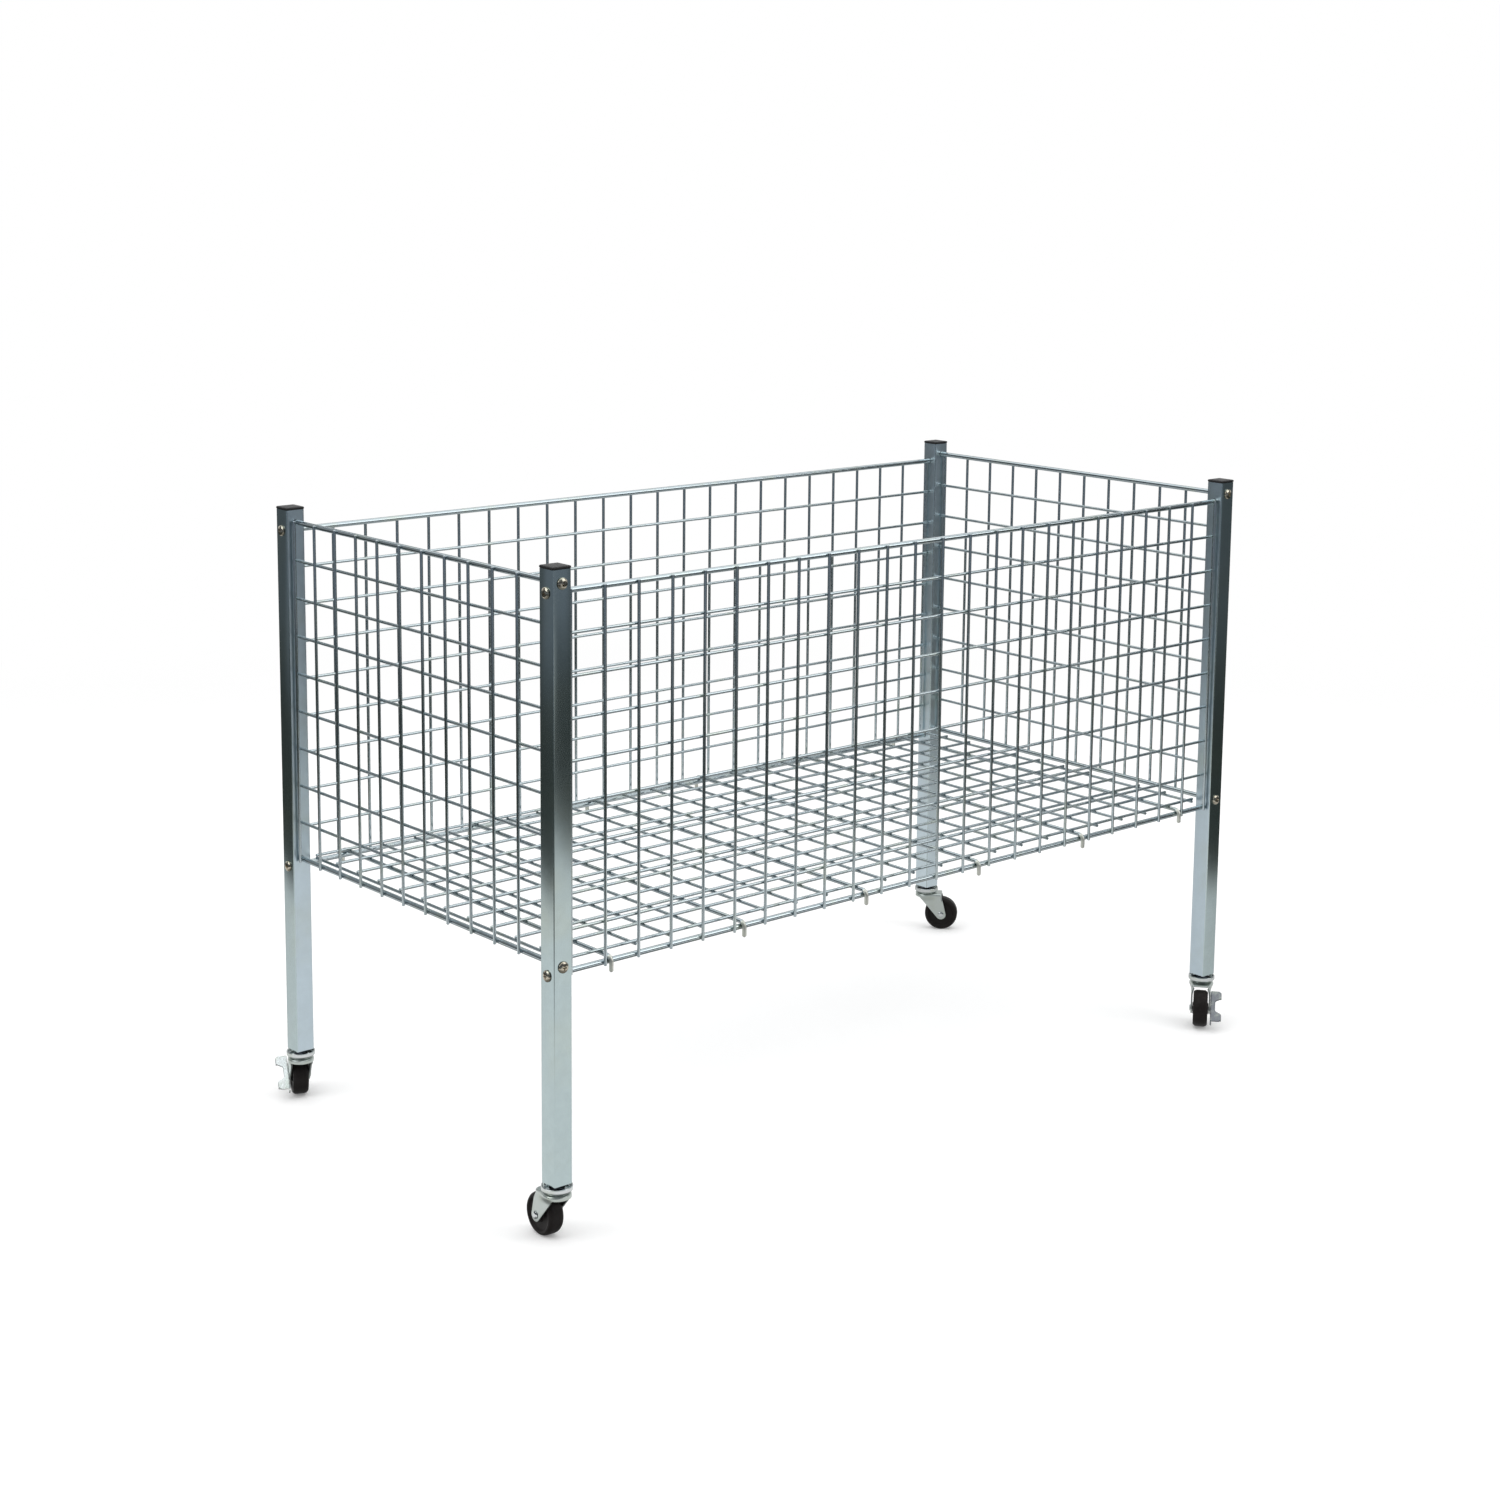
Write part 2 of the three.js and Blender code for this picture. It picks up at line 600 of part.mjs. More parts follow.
for (const [corner, { x, y, trail, padUp }] of Object.entries(CASTERS)) {
  const stand = new THREE.Group();
  stand.position.set((x * POST_SPACING_LONG) / 2, (y * POST_SPACING_SHORT) / 2, 0);
  stand.add(piece(`post_${corner}`, post(x, y), zinc));

  const cap = piece(`cap_${corner}`, capShape, blackPlastic);
  cap.position.z = postTop + FIT_GAP;
  stand.add(cap);

  const seat = POST_SIZE / 2 + FIT_GAP;
  const screws = [
    { name: 'side_top', x, y: 0, z: sideRailTop },
    { name: 'side_bottom', x, y: 0, z: sideRailBottom },
    { name: 'end_top', x: 0, y, z: endRailTop },
    { name: 'end_bottom', x: 0, y, z: endRailBottom },
  ];
  for (const s of screws) {
    const fixing = piece(`screw_${corner}_${s.name}`, screwShape, yellowZinc);
    fixing.position.set(s.x * seat, s.y * seat, s.z);
    const outwards = new THREE.Vector3(s.x, s.y, 0);
    fixing.quaternion.setFromUnitVectors(new THREE.Vector3(0, 0, 1), outwards);
    stand.add(fixing);
  }

  stand.add(piece(`insert_${corner}`, insertShape, greyNylon));
  const caster = new THREE.Group();
  caster.rotation.z = THREE.MathUtils.degToRad(trail);
  caster.add(piece(`stem_${corner}`, stemShape, brightZinc));
  caster.add(piece(`nut_${corner}`, nutShape, zinc));
  caster.add(piece(`fork_${corner}`, forkShape, paleZinc));
  caster.add(piece(`axle_${corner}`, axle(padUp), brightZinc));
  caster.add(piece(`wheel_${corner}`, wheelShape, rubber));
  if (padUp !== 0) {
    caster.add(piece(`brake_pedal_${corner}`, brakePedal(padUp), brightZinc));
  }
  stand.add(caster);
  bin.add(stand);
}

export default bin;
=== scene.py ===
import json
import math
import random

import bmesh
import bpy
from bpy.props import FloatProperty, FloatVectorProperty, PointerProperty
from bpy.types import Operator, Panel, PropertyGroup
from mathutils import Matrix, Vector

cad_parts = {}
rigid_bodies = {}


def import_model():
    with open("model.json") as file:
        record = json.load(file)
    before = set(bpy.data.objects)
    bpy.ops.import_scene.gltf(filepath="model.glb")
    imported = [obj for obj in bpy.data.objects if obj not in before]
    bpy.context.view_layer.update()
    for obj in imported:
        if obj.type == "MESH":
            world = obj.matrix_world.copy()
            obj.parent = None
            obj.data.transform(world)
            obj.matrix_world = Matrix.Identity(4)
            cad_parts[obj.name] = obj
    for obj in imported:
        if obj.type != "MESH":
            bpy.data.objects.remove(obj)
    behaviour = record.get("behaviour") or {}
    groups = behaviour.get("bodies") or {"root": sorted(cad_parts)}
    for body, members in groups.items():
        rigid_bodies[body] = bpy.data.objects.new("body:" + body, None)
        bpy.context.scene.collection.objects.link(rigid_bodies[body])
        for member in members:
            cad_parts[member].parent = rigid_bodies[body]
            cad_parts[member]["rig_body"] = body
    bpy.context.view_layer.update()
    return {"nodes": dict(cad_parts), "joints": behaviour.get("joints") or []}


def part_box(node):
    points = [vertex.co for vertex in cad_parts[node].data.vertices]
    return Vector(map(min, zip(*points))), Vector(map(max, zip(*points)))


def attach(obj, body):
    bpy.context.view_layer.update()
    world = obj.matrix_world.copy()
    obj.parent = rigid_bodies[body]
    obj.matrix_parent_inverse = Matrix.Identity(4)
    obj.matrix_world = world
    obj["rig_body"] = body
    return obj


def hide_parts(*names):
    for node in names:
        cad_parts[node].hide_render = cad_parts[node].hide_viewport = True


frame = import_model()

bl_info = {
    "name": "Wire dump bin",
    "version": (1, 0, 0),
    "blender": (4, 5, 0),
    "location": "3D View > Sidebar > Dump Bin",
    "description": "Dresses the packed frame of a wheeled wire dump bin",
    "category": "Add Mesh",
}

CORNERS = ("front_left", "front_right", "back_left", "back_right")
BRAKED = tuple(c for c in CORNERS if f"brake_pedal_{c}" in frame["nodes"])
UP = Vector((0, 0, 1))
QUARTER_TURN = math.pi / 2
FULL_TURN = 2 * math.pi
TINY = 1e-9
# Gap between pieces that are close but don't touch
ROOM = 0.0003


# Places read from the frame


def middle(node):
    """Middle of a node's box."""
    low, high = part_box(node)
    return (low + high) / 2


def heights(node):
    """Foot and top of a node's box."""
    low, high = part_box(node)
    return low.z, high.z


def joint(name):
    """A joint's row in the frame."""
    return next(j for j in frame["joints"] if j["name"] == name)


def corner_point(corner):
    """Foot of a post's axis on the floor."""
    point = middle(f"post_{corner}")
    return Vector((point.x, point.y, 0))


def caster_matrix(corner):
    """Caster frame: X trails behind the swivel, Y runs along the axle, Z is up."""
    across = Vector(joint(f"wheel_spin_{corner}")["axis"]).normalized()
    back = across.cross(UP)
    turn = Matrix((back, across, UP)).transposed()
    return Matrix.Translation(corner_point(corner)) @ turn.to_4x4()


POST_FOOT, POST_TOP = heights("post_front_left")
SIDE_RAIL_TOP = middle("screw_front_left_side_top").z
SIDE_RAIL_BOTTOM = middle("screw_front_left_side_bottom").z
END_RAIL_TOP = middle("screw_front_left_end_top").z
END_RAIL_BOTTOM = middle("screw_front_left_end_bottom").z
SPAN_LONG = corner_point("front_right").x - corner_point("front_left").x
SPAN_SHORT = corner_point("back_left").y - corner_point("front_left").y
STEM_FOOT, STEM_TOP = heights("stem_front_left")
NUT_FOOT, NUT_TOP = heights("nut_front_left")
_, FORK_TOP = heights("fork_front_left")
AXLE_POINT = Vector(joint("wheel_spin_front_left")["pos_m"])
TRAIL = (AXLE_POINT - corner_point("front_left")).to_2d().length
WHEEL_RADIUS = AXLE_POINT.z
# From a shape about Z to the same shape about a caster's axle
ON_AXLE = Matrix.Translation((TRAIL, 0, WHEEL_RADIUS)) @ Matrix.Rotation(-QUARTER_TURN, 4, "X")


# Sizes and colours


def length(name, description, default):
    return FloatProperty(name=name, description=description, default=default, min=0.0001, unit="LENGTH")


def colour(name, description, default):
    return FloatVectorProperty(
        name=name, description=description, default=default, size=3, min=0, max=1, subtype="COLOR"
    )


class BinSizes(PropertyGroup):
    post_size: length("Post size", "Outer width of the square tube", 0.026)
    post_wall: length("Post wall", "Thickness of the tube's wall", 0.0015)
    post_corner: length("Post corner", "Outer radius of the tube's edges", 0.0015)
    cap_lip: length("Cap lip", "Overhang of a cap past its post", 0.0004)
    cap_height: length("Cap height", "Thickness of a cap's head", 0.003)
    rail: length("Rail", "Diameter of the panels' rails", 0.007)
    wire: length("Wire", "Diameter of the mesh wires", 0.004)
    pitch: length("Mesh pitch", "Distance between wires", 0.05)
    edge_offset: length("Edge offset", "Post face to the axis of the outermost upright", 0.0045)
    rod: length("Hook rod", "Diameter of the shelf's hook rods", 0.0055)
    screw_head: length("Screw head", "Diameter of the panel screws' heads", 0.0142)
    wheel_width: length("Wheel width", "Width of the tread", 0.021)
    hub_width: length("Hub width", "Width of the wheel at its hub", 0.023)
    fork_sheet: length("Fork sheet", "Thickness of the pressed fork", 0.0022)
    cup: length("Swivel cup", "Diameter of the swivel's upper cup", 0.038)


class BinColours(PropertyGroup):
    tube: colour("Tube", "Bright zinc on the posts", (0.455, 0.545, 0.555))
    # Inner faces: rougher zinc, made lighter with a painted reflection of the bin's lit inside
    tube_inner_painted_reflection: colour("Tube, inner faces", "Duller zinc on the faces turned to the bin", (0.55, 0.65, 0.71))
    # Back right post's inner faces: zinc made much lighter with a painted reflection of the bin's lit inside
    tube_far_painted_reflection: colour("Tube, far inside", "Zinc on the back right post's inner faces", (0.74, 0.86, 0.92))
    wire: colour("Wire", "Bright zinc on the mesh", (0.48, 0.545, 0.57))
    shelf: colour("Shelf", "Bright zinc on the shelf", (0.44, 0.505, 0.53))
    # Hook: a paler, cream zinc on the hooks' ends beyond the rails, lighter than the rest of the shelf
    hook: colour("Hook", "Thick plating on the hooks' ends", (0.78, 0.79, 0.72))
    bloom: colour("Bloom", "Passivation tint in the plating", (0.50, 0.55, 0.47))
    screw: colour("Screw", "Yellowish plating on the screws", (0.52, 0.47, 0.38))
    fork: colour("Fork", "Dull zinc on the forks", (0.53, 0.58, 0.555))
    polished: colour("Polished zinc", "Bright caster fittings", (0.62, 0.65, 0.655))
    # The pedals share one zinc: the back left tint is a painted bright reflection, the front right tint a
    # painted dark reflection
    pedal_painted_bright: colour("Pedal, back left", "Fresh plating on the back brake pedal", (0.88, 0.91, 0.91))
    pedal_painted_dark: colour("Pedal, front right", "Worn plating on the front brake pedal", (0.19, 0.2, 0.22))
    nut: colour("Nut", "Blue passivated lock nuts", (0.27, 0.28, 0.34))
    cap: colour("Cap", "Black moulded caps", (0.012, 0.012, 0.013))
    insert: colour("Insert", "Grey nylon inserts", (0.06, 0.064, 0.066))
    wheel: colour("Wheel", "Black wheels", (0.0125, 0.0105, 0.0101))
    dust: colour("Dust", "Dust on plastic and rubber", (0.16, 0.15, 0.14))


def sizes():
    return bpy.context.scene.dump_bin_sizes


def colours():
    return bpy.context.scene.dump_bin_colours


# Mesh making


def quarter_turns(steps):
    """Angles from nothing to a quarter turn."""
    return [QUARTER_TURN * i / steps for i in range(steps + 1)]


def half_turns(steps):
    """Angles from nothing to a half turn."""
    return [math.pi * i / steps for i in range(steps + 1)]


def full_turns(steps):
    """Angles once round, without the last, which is the first again."""
    return [FULL_TURN * i / steps for i in range(steps)]


def smooth(t):
    """Soft start and stop between 0 and 1."""
    return t * t * (3 - 2 * t)


def loft(bm, rings, capped=True):
    """Skin through rings of points, one after the other."""
    rows = [[bm.verts.new(p) for p in ring] for ring in rings]
    for a, b in zip(rows, rows[1:]):
        for i in range(len(a)):
            k = (i + 1) % len(a)
            bm.faces.new((a[i], a[k], b[k], b[i]))
    if capped:
        bm.faces.new(list(reversed(rows[0])))
        bm.faces.new(rows[-1])


def wire_along(bm, points, radius, sides=14, ease=0.0005):
    """Round wire through points, with eased ends."""
    points = [Vector(p) for p in points]
    last = len(points) - 1
    turns = full_turns(sides)
    side = (points[1] - points[0]).normalized().orthogonal().normalized()
    rings = []
    for i, point in enumerate(points):
        tangent = (points[min(i + 1, last)] - points[max(i - 1, 0)]).normalized()
        side = (side - tangent * side.dot(tangent)).normalized()
        other = tangent.cross(side)
        steps = [(0, radius)]
        if i == 0:
            steps = [(0, radius - ease), (ease, radius)]
        elif i == last:
            steps = [(-ease, radius), (0, radius - ease)]
        for along, reach in steps:
            at = point + tangent * along
            rings.append([at + (side * math.cos(t) + other * math.sin(t)) * reach for t in turns])
    loft(bm, rings)


def weld_bead(bm, point, reach):
    """Small flattened nugget where two wires are welded. reach holds its half sizes along X, Y and Z."""
    made = bmesh.ops.create_icosphere(bm, subdivisions=1, radius=1)
    for vert in made["verts"]:
        vert.co = Vector(c * r for c, r in zip(vert.co, reach)) + point


def revolve(bm, profile, segments):
    """Solid of revolution about Z. The (radius, height) pairs end on the axis or where they start."""
    closed = profile[0] == profile[-1]
    points = profile[:-1] if closed else profile
    turns = full_turns(segments)
    rows = []
    for radius, height in points:
        if radius < TINY:
            rows.append([bm.verts.new((0, 0, height))] * segments)
        else:
            rows.append([bm.verts.new((radius * math.cos(t), radius * math.sin(t), height)) for t in turns])
    pairs = list(zip(rows, rows[1:])) + ([(rows[-1], rows[0])] if closed else [])
    for a, b in pairs:
        for i in range(segments):
            k = (i + 1) % segments
            bm.faces.new(dict.fromkeys((a[i], a[k], b[k], b[i])))


def rounded(profile, radius, steps=4):
    """Profile with each inner corner turned into a small arc."""
    longest_share = 0.45
    points = [Vector(p) for p in profile]
    done = [tuple(points[0])]
    for before, at, after in zip(points, points[1:], points[2:]):
        to_before, to_after = before - at, after - at
        reach = min(radius, to_before.length * longest_share, to_after.length * longest_share)
        a, b = at + to_before.normalized() * reach, at + to_after.normalized() * reach
        for i in range(steps + 1):
            t = i / steps
            done.append(tuple(a * (1 - t) ** 2 + at * (2 * t * (1 - t)) + b * t**2))
    done.append(tuple(points[-1]))
    return done


def rounded_square(size, radius, height, steps=5):
    """Ring of points round a square with rounded corners."""
    h = size / 2 - radius
    points = []
    for k, (x, y) in enumerate(((h, h), (-h, h), (-h, -h), (h, -h))):
        for i in range(steps + 1):
            t = (k + i / steps) * QUARTER_TURN
            points.append((x + radius * math.cos(t), y + radius * math.sin(t), height))
    return points


def bare_mesh(name, bm):
    """Mesh of bm, which is used up."""
    mesh = bpy.data.meshes.new(name)
    bm.to_mesh(mesh)
    bm.free()
    return mesh


def linked(name, data):
    """New object in the scene."""
    made = bpy.data.objects.new(name, data)
    bpy.context.scene.collection.objects.link(made)
    return made


def modified(body, *tools):
    """What an object's modifiers make of it. The object and its tools are taken away."""
    dressed = body.evaluated_get(bpy.context.evaluated_depsgraph_get())
    result = bmesh.new()
    result.from_mesh(dressed.to_mesh())
    if not result.faces:
        raise RuntimeError(f"{body.name} came out empty")
    for made in (body, *tools):
        mesh = made.data
        bpy.data.objects.remove(made)
        bpy.data.meshes.remove(mesh)
    return result


def carved(bm, cutter):
    """bm with the cutter's volume taken out."""
    for source in (bm, cutter):
        bmesh.ops.recalc_face_normals(source, faces=source.faces)
    body = linked("carving", bare_mesh("carving", bm))
    tool = linked("cutter", bare_mesh("cutter", cutter))
    cut = body.modifiers.new("cut", "BOOLEAN")
    cut.operation = "DIFFERENCE"
    cut.solver = "EXACT"
    cut.use_self = True
    cut.object = tool
    return modified(body, tool)


def mesh_of(name, bm, materials, sharp=32):
    """Mesh that looks smooth, apart from edges over sharp degrees. It uses bm up."""
    bmesh.ops.recalc_face_normals(bm, faces=bm.faces)
    mesh = bare_mesh(name, bm)
    mesh.polygons.foreach_set("use_smooth", [True] * len(mesh.polygons))
    mesh.set_sharp_from_angle(angle=math.radians(sharp))
    for material in materials:
        mesh.materials.append(material)
    return mesh


def piece(name, mesh, node, matrix):
    """Object that stands for a node of the frame and moves with its body."""
    made = linked(name, mesh)
    made.matrix_world = matrix
    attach(made, frame["nodes"][node]["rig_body"])
    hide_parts(node)


def caster_pieces(name, mesh, node):
    """The same piece on all four casters."""
    for corner in CORNERS:
        piece(f"{name}_{corner}", mesh, f"{node}_{corner}", caster_matrix(corner))


# Node groups and materials


WHITE = (1, 1, 1, 1)


class Nodes:
    """Short hand for adding and joining nodes in one tree."""

    def __init__(self, tree):
        self.tree = tree

    def add(self, kind, values=None, **settings):
        node = self.tree.nodes.new("ShaderNode" + kind)
        for key, value in settings.items():
            setattr(node, key, value)
        for key, value in (values or {}).items():
            if isinstance(value, bpy.types.NodeSocket):
                self.link(value, node.inputs[key])
            else:
                node.inputs[key].default_value = value
        return node

    def link(self, source, target):
        self.tree.links.new(source, target)

    def math(self, operation, a, b=0.0, clamp=False):
        return self.add("Math", {0: a, 1: b}, operation=operation, use_clamp=clamp).outputs[0]

    def times(self, *values):
        """Product of two or more values."""
        product = values[0]
        for value in values[1:]:
            product = self.math("MULTIPLY", product, value)
        return product

    def dot(self, a, b):
        return self.add("VectorMath", {0: a, 1: b}, operation="DOT_PRODUCT").outputs["Value"]

    def ramp(self, value, band, levels=(0.0, 1.0)):
        """Smooth step from the first level to the second across a band of values."""
        values = {0: value, 1: band[0], 2: band[1], 3: levels[0], 4: levels[1]}
        return self.add("MapRange", values, interpolation_type="SMOOTHSTEP").outputs[0]

    def mix(self, factor, a, b, blend="MIX"):
        return self.add("Mix", {0: factor, 6: a, 7: b}, data_type="RGBA", blend_type=blend).outputs[2]

    def noise(self, place, scale, detail, roughness=0.5, distortion=0.0):
        values = {"Vector": place, "Scale": scale, "Detail": detail, "Roughness": roughness}
        return self.add("TexNoise", values | {"Distortion": distortion}).outputs["Fac"]

    def shader(self, kind, colour, **values):
        return self.add(kind, {"Color": colour} | values).outputs[0]

    def either(self, factor, a, b):
        """Shader a where factor is 0 and b where it is 1."""
        return self.add("MixShader", {0: factor, 1: a, 2: b}).outputs[0]


def skin_group(name, tints, values, vectors=()):
    """Nodes, inputs and outputs of a new group that gives a surface its colour, roughness and height."""
    tree = bpy.data.node_groups.new(name, "ShaderNodeTree")
    for kind, labels in (("Color", tints), ("Float", values), ("Vector", vectors)):
        for label in labels:
            tree.interface.new_socket(label, in_out="INPUT", socket_type="NodeSocket" + kind)
    for label, kind in (("Colour", "Color"), ("Roughness", "Float"), ("Height", "Float")):
        tree.interface.new_socket(label, in_out="OUTPUT", socket_type="NodeSocket" + kind)
    given = tree.nodes.new("NodeGroupInput").outputs
    out = tree.nodes.new("NodeGroupOutput").inputs
    return Nodes(tree), given, out


def plating_group():
    """Zinc plating: soft clouds of passivation, drawn lines along one axis, fine crystals and dull marks."""
    name = "zinc_plating"
    if name in bpy.data.node_groups:
        return bpy.data.node_groups[name]
    patches_per_cloud = 7.0
    crystals_per_metre = 1400.0
    crystal_relief = 0.35
    mean_cloud = 0.5
    values = ("Cloud Scale", "Roughness", "Roughness Spread")
    n, given, out = skin_group(name, ("Zinc", "Bloom"), values, ("Line Stretch",))
    place = n.add("TexCoord").outputs["Object"]
    cloud = n.noise(place, given["Cloud Scale"], detail=3.0, roughness=0.55)
    patch_scale = n.times(given["Cloud Scale"], patches_per_cloud)
    patch = n.noise(place, patch_scale, detail=4.0, roughness=0.65)
    stretched = n.add("VectorMath", {0: place, 1: given["Line Stretch"]}, operation="MULTIPLY").outputs[0]
    lines = n.noise(stretched, scale=1.0, detail=2.0, roughness=0.6)
    crystal = n.add("TexVoronoi", {"Vector": place, "Scale": crystals_per_metre}).outputs["Distance"]
    bloom = n.ramp(cloud, band=(0.45, 0.75), levels=(0.0, 0.55))
    tinted = n.mix(bloom, given["Zinc"], given["Bloom"])
    shade = n.ramp(patch, band=(0.3, 0.75), levels=(0.965, 1.02))
    grain = n.ramp(crystal, band=(0.0, 0.9), levels=(1.015, 0.98))
    level = n.times(shade, grain)
    grey = n.add("CombineColor", {0: level, 1: level, 2: level}).outputs[0]
    n.link(n.mix(1.0, tinted, grey, "MULTIPLY"), out["Colour"])
    marks = n.ramp(patch, band=(0.58, 0.82), levels=(0.0, 0.35))
    spread = n.math("ADD", n.math("SUBTRACT", cloud, mean_cloud), marks)
    rough = n.times(spread, given["Roughness Spread"])
    n.link(n.math("ADD", given["Roughness"], rough, clamp=True), out["Roughness"])
    n.link(n.math("ADD", lines, n.times(crystal, crystal_relief)), out["Height"])
    return n.tree


def moulding_group():
    """Moulded plastic or rubber: fine grain, soft scuffs, and dust that settles on what faces up."""
    name = "moulded_skin"
    if name in bpy.data.node_groups:
        return bpy.data.node_groups[name]
    scuffs_per_metre = 160.0
    plain_scuff = 0.4
    values = ("Dust Share", "Grain Scale", "Roughness", "Roughness Spread")
    n, given, out = skin_group(name, ("Skin", "Dust"), values)
    place = n.add("TexCoord").outputs["Object"]
    facing = n.add("SeparateXYZ", {0: n.add("NewGeometry").outputs["Normal"]}).outputs["Z"]
    grain = n.noise(place, given["Grain Scale"], detail=3.0, roughness=0.7)
    scuff = n.noise(place, scuffs_per_metre, detail=5.0, roughness=0.7, distortion=0.6)
    scuffed = n.ramp(scuff, band=(0.5, 0.78))
    settled = n.ramp(facing, band=(-0.2, 1.0), levels=(0.25, 1.0))
    dust = n.math("MULTIPLY", n.times(scuffed, settled), given["Dust Share"], clamp=True)
    n.link(n.mix(dust, given["Skin"], given["Dust"]), out["Colour"])
    rough = n.times(n.math("SUBTRACT", scuff, plain_scuff), given["Roughness Spread"])
    n.link(n.math("ADD", given["Roughness"], rough, clamp=True), out["Roughness"])
    n.link(grain, out["Height"])
    return n.tree


def material_of(name, group, values, metallic, specular, relief, relief_depth):
    """Material whose colour, roughness and relief come from one of the node groups."""
    if name in bpy.data.materials:
        return bpy.data.materials[name]
    material = bpy.data.materials.new(name)
    material.use_nodes = True
    n = Nodes(material.node_tree)
    shader = n.tree.nodes["Principled BSDF"].inputs
    shader["Metallic"].default_value = metallic
    shader["Specular IOR Level"].default_value = specular
    skin = n.add("Group", values, node_tree=group).outputs
    bump = n.add("Bump", {"Strength": relief, "Distance": relief_depth, "Height": skin["Height"]})
    n.link(skin["Colour"], shader["Base Color"])
    n.link(skin["Roughness"], shader["Roughness"])
    n.link(bump.outputs["Normal"], shader["Normal"])
    return material


METAL = 1.0
NO_METAL = 0.0
# Zinc by its tint: clouds to the metre, lines to the metre along X, Y and Z, roughness, its spread, relief
ZINC_FINISHES = {
    "tube": (9.0, (900.0, 900.0, 6.0), 0.15, 0.06, 0.04),
    # The two inner tints are rougher zinc whose lighter colour is a painted reflection of the bin's lit
    # inside
    "tube_inner_painted_reflection": (9.0, (900.0, 900.0, 6.0), 0.3, 0.1, 0.04),
    "tube_far_painted_reflection": (9.0, (900.0, 900.0, 6.0), 0.3, 0.1, 0.04),
    "wire": (30.0, (700.0, 700.0, 700.0), 0.13, 0.05, 0.02),
    "shelf": (30.0, (700.0, 700.0, 700.0), 0.16, 0.06, 0.02),
    "hook": (60.0, (700.0, 700.0, 700.0), 0.42, 0.1, 0.06),
    "screw": (120.0, (900.0, 900.0, 900.0), 0.16, 0.1, 0.25),
    "nut": (120.0, (900.0, 900.0, 900.0), 0.16, 0.1, 0.25),
    "fork": (60.0, (500.0, 500.0, 500.0), 0.3, 0.14, 0.25),
    "polished": (80.0, (400.0, 400.0, 2200.0), 0.09, 0.06, 0.08),
    # Pedal tints: one zinc with a painted bright reflection at the back left and a painted dark reflection at
    # the front right
    "pedal_painted_bright": (80.0, (400.0, 400.0, 400.0), 0.22, 0.1, 0.1),
    "pedal_painted_dark": (80.0, (400.0, 400.0, 400.0), 0.22, 0.1, 0.1),
}
ZINC_SPECULAR = 0.5
ZINC_RELIEF_DEPTH = 0.00006
# Plastic and rubber by tint: share of dust, grains to the metre, roughness, its spread, relief, specular
MOULDED_FINISHES = {
    "cap": (0.16, 2600.0, 0.42, 0.25, 0.3, 0.3),
    "insert": (0.2, 1800.0, 0.55, 0.2, 0.3, 0.5),
    "wheel": (0.14, 1500.0, 0.42, 0.3, 0.4, 0.12),
}
GRAIN_DEPTH = 0.0002


def tint_of(name):
    """One of the bin's colours, with its alpha."""
    return (*getattr(colours(), name), 1.0)


def zinc(tint):
    """Zinc plating in one of the bin's tints."""
    cloud, lines, rough, spread, relief = ZINC_FINISHES[tint]
    values = {"Zinc": tint_of(tint), "Bloom": tint_of("bloom"), "Cloud Scale": cloud, "Line Stretch": lines}
    values |= {"Roughness": rough, "Roughness Spread": spread}
    name = f"{tint}_plating"
    return material_of(name, plating_group(), values, METAL, ZINC_SPECULAR, relief, ZINC_RELIEF_DEPTH)


def moulded(tint):
    """Plastic or rubber in one of the bin's tints."""
    dust, grain, rough, spread, relief, specular = MOULDED_FINISHES[tint]
    values = {"Skin": tint_of(tint), "Dust": tint_of("dust"), "Dust Share": dust, "Grain Scale": grain}
    values |= {"Roughness": rough, "Roughness Spread": spread}
    name = f"{tint}_moulding"
    return material_of(name, moulding_group(), values, NO_METAL, specular, relief, GRAIN_DEPTH)


# Posts


TUBE_END_EASE = 0.0003
RAIL_HOLE_ROOM = 0.0006
RAIL_HOLE_SIDES = 24
# Least part of a normal that points to the bin on an inner face, which gets the zinc with a painted
# reflection
INNER_FACING = 0.95


def post_tube():
    """Hollow square tube with eased ends, about its own axis."""
    s = sizes()
    low, high = POST_FOOT, POST_TOP
    outer, inner = s.post_size, s.post_size - 2 * s.post_wall
    eased = outer - 2 * TUBE_END_EASE
    corner, inner_corner = s.post_corner, s.post_corner / 3
    rings = [
        rounded_square(eased, corner, low),
        rounded_square(outer, corner, low + TUBE_END_EASE),
        rounded_square(outer, corner, high - TUBE_END_EASE),
        rounded_square(eased, corner, high),
        rounded_square(inner, inner_corner, high),
        rounded_square(inner, inner_corner, low),
    ]
    bm = bmesh.new()
    loft(bm, rings + rings[:1], capped=False)
    bmesh.ops.remove_doubles(bm, verts=bm.verts, dist=1e-7)
    return bm


def rail_drills(inwards_x, inwards_y):
    """Drills for the rails' holes in a post's two inner walls."""
    s = sizes()
    bore = s.rail / 2 + RAIL_HOLE_ROOM
    wall = s.post_size / 2 - s.post_wall / 2
    bm = bmesh.new()
    for axis, inwards, levels in (
        (Vector((1, 0, 0)), inwards_x, (SIDE_RAIL_TOP, SIDE_RAIL_BOTTOM)),
        (Vector((0, 1, 0)), inwards_y, (END_RAIL_TOP, END_RAIL_BOTTOM)),
    ):
        reach = axis * 2 * s.post_wall
        for z in levels:
            at = axis * inwards * wall + UP * z
            wire_along(bm, [at - reach, at + reach], bore, RAIL_HOLE_SIDES)
    return bm


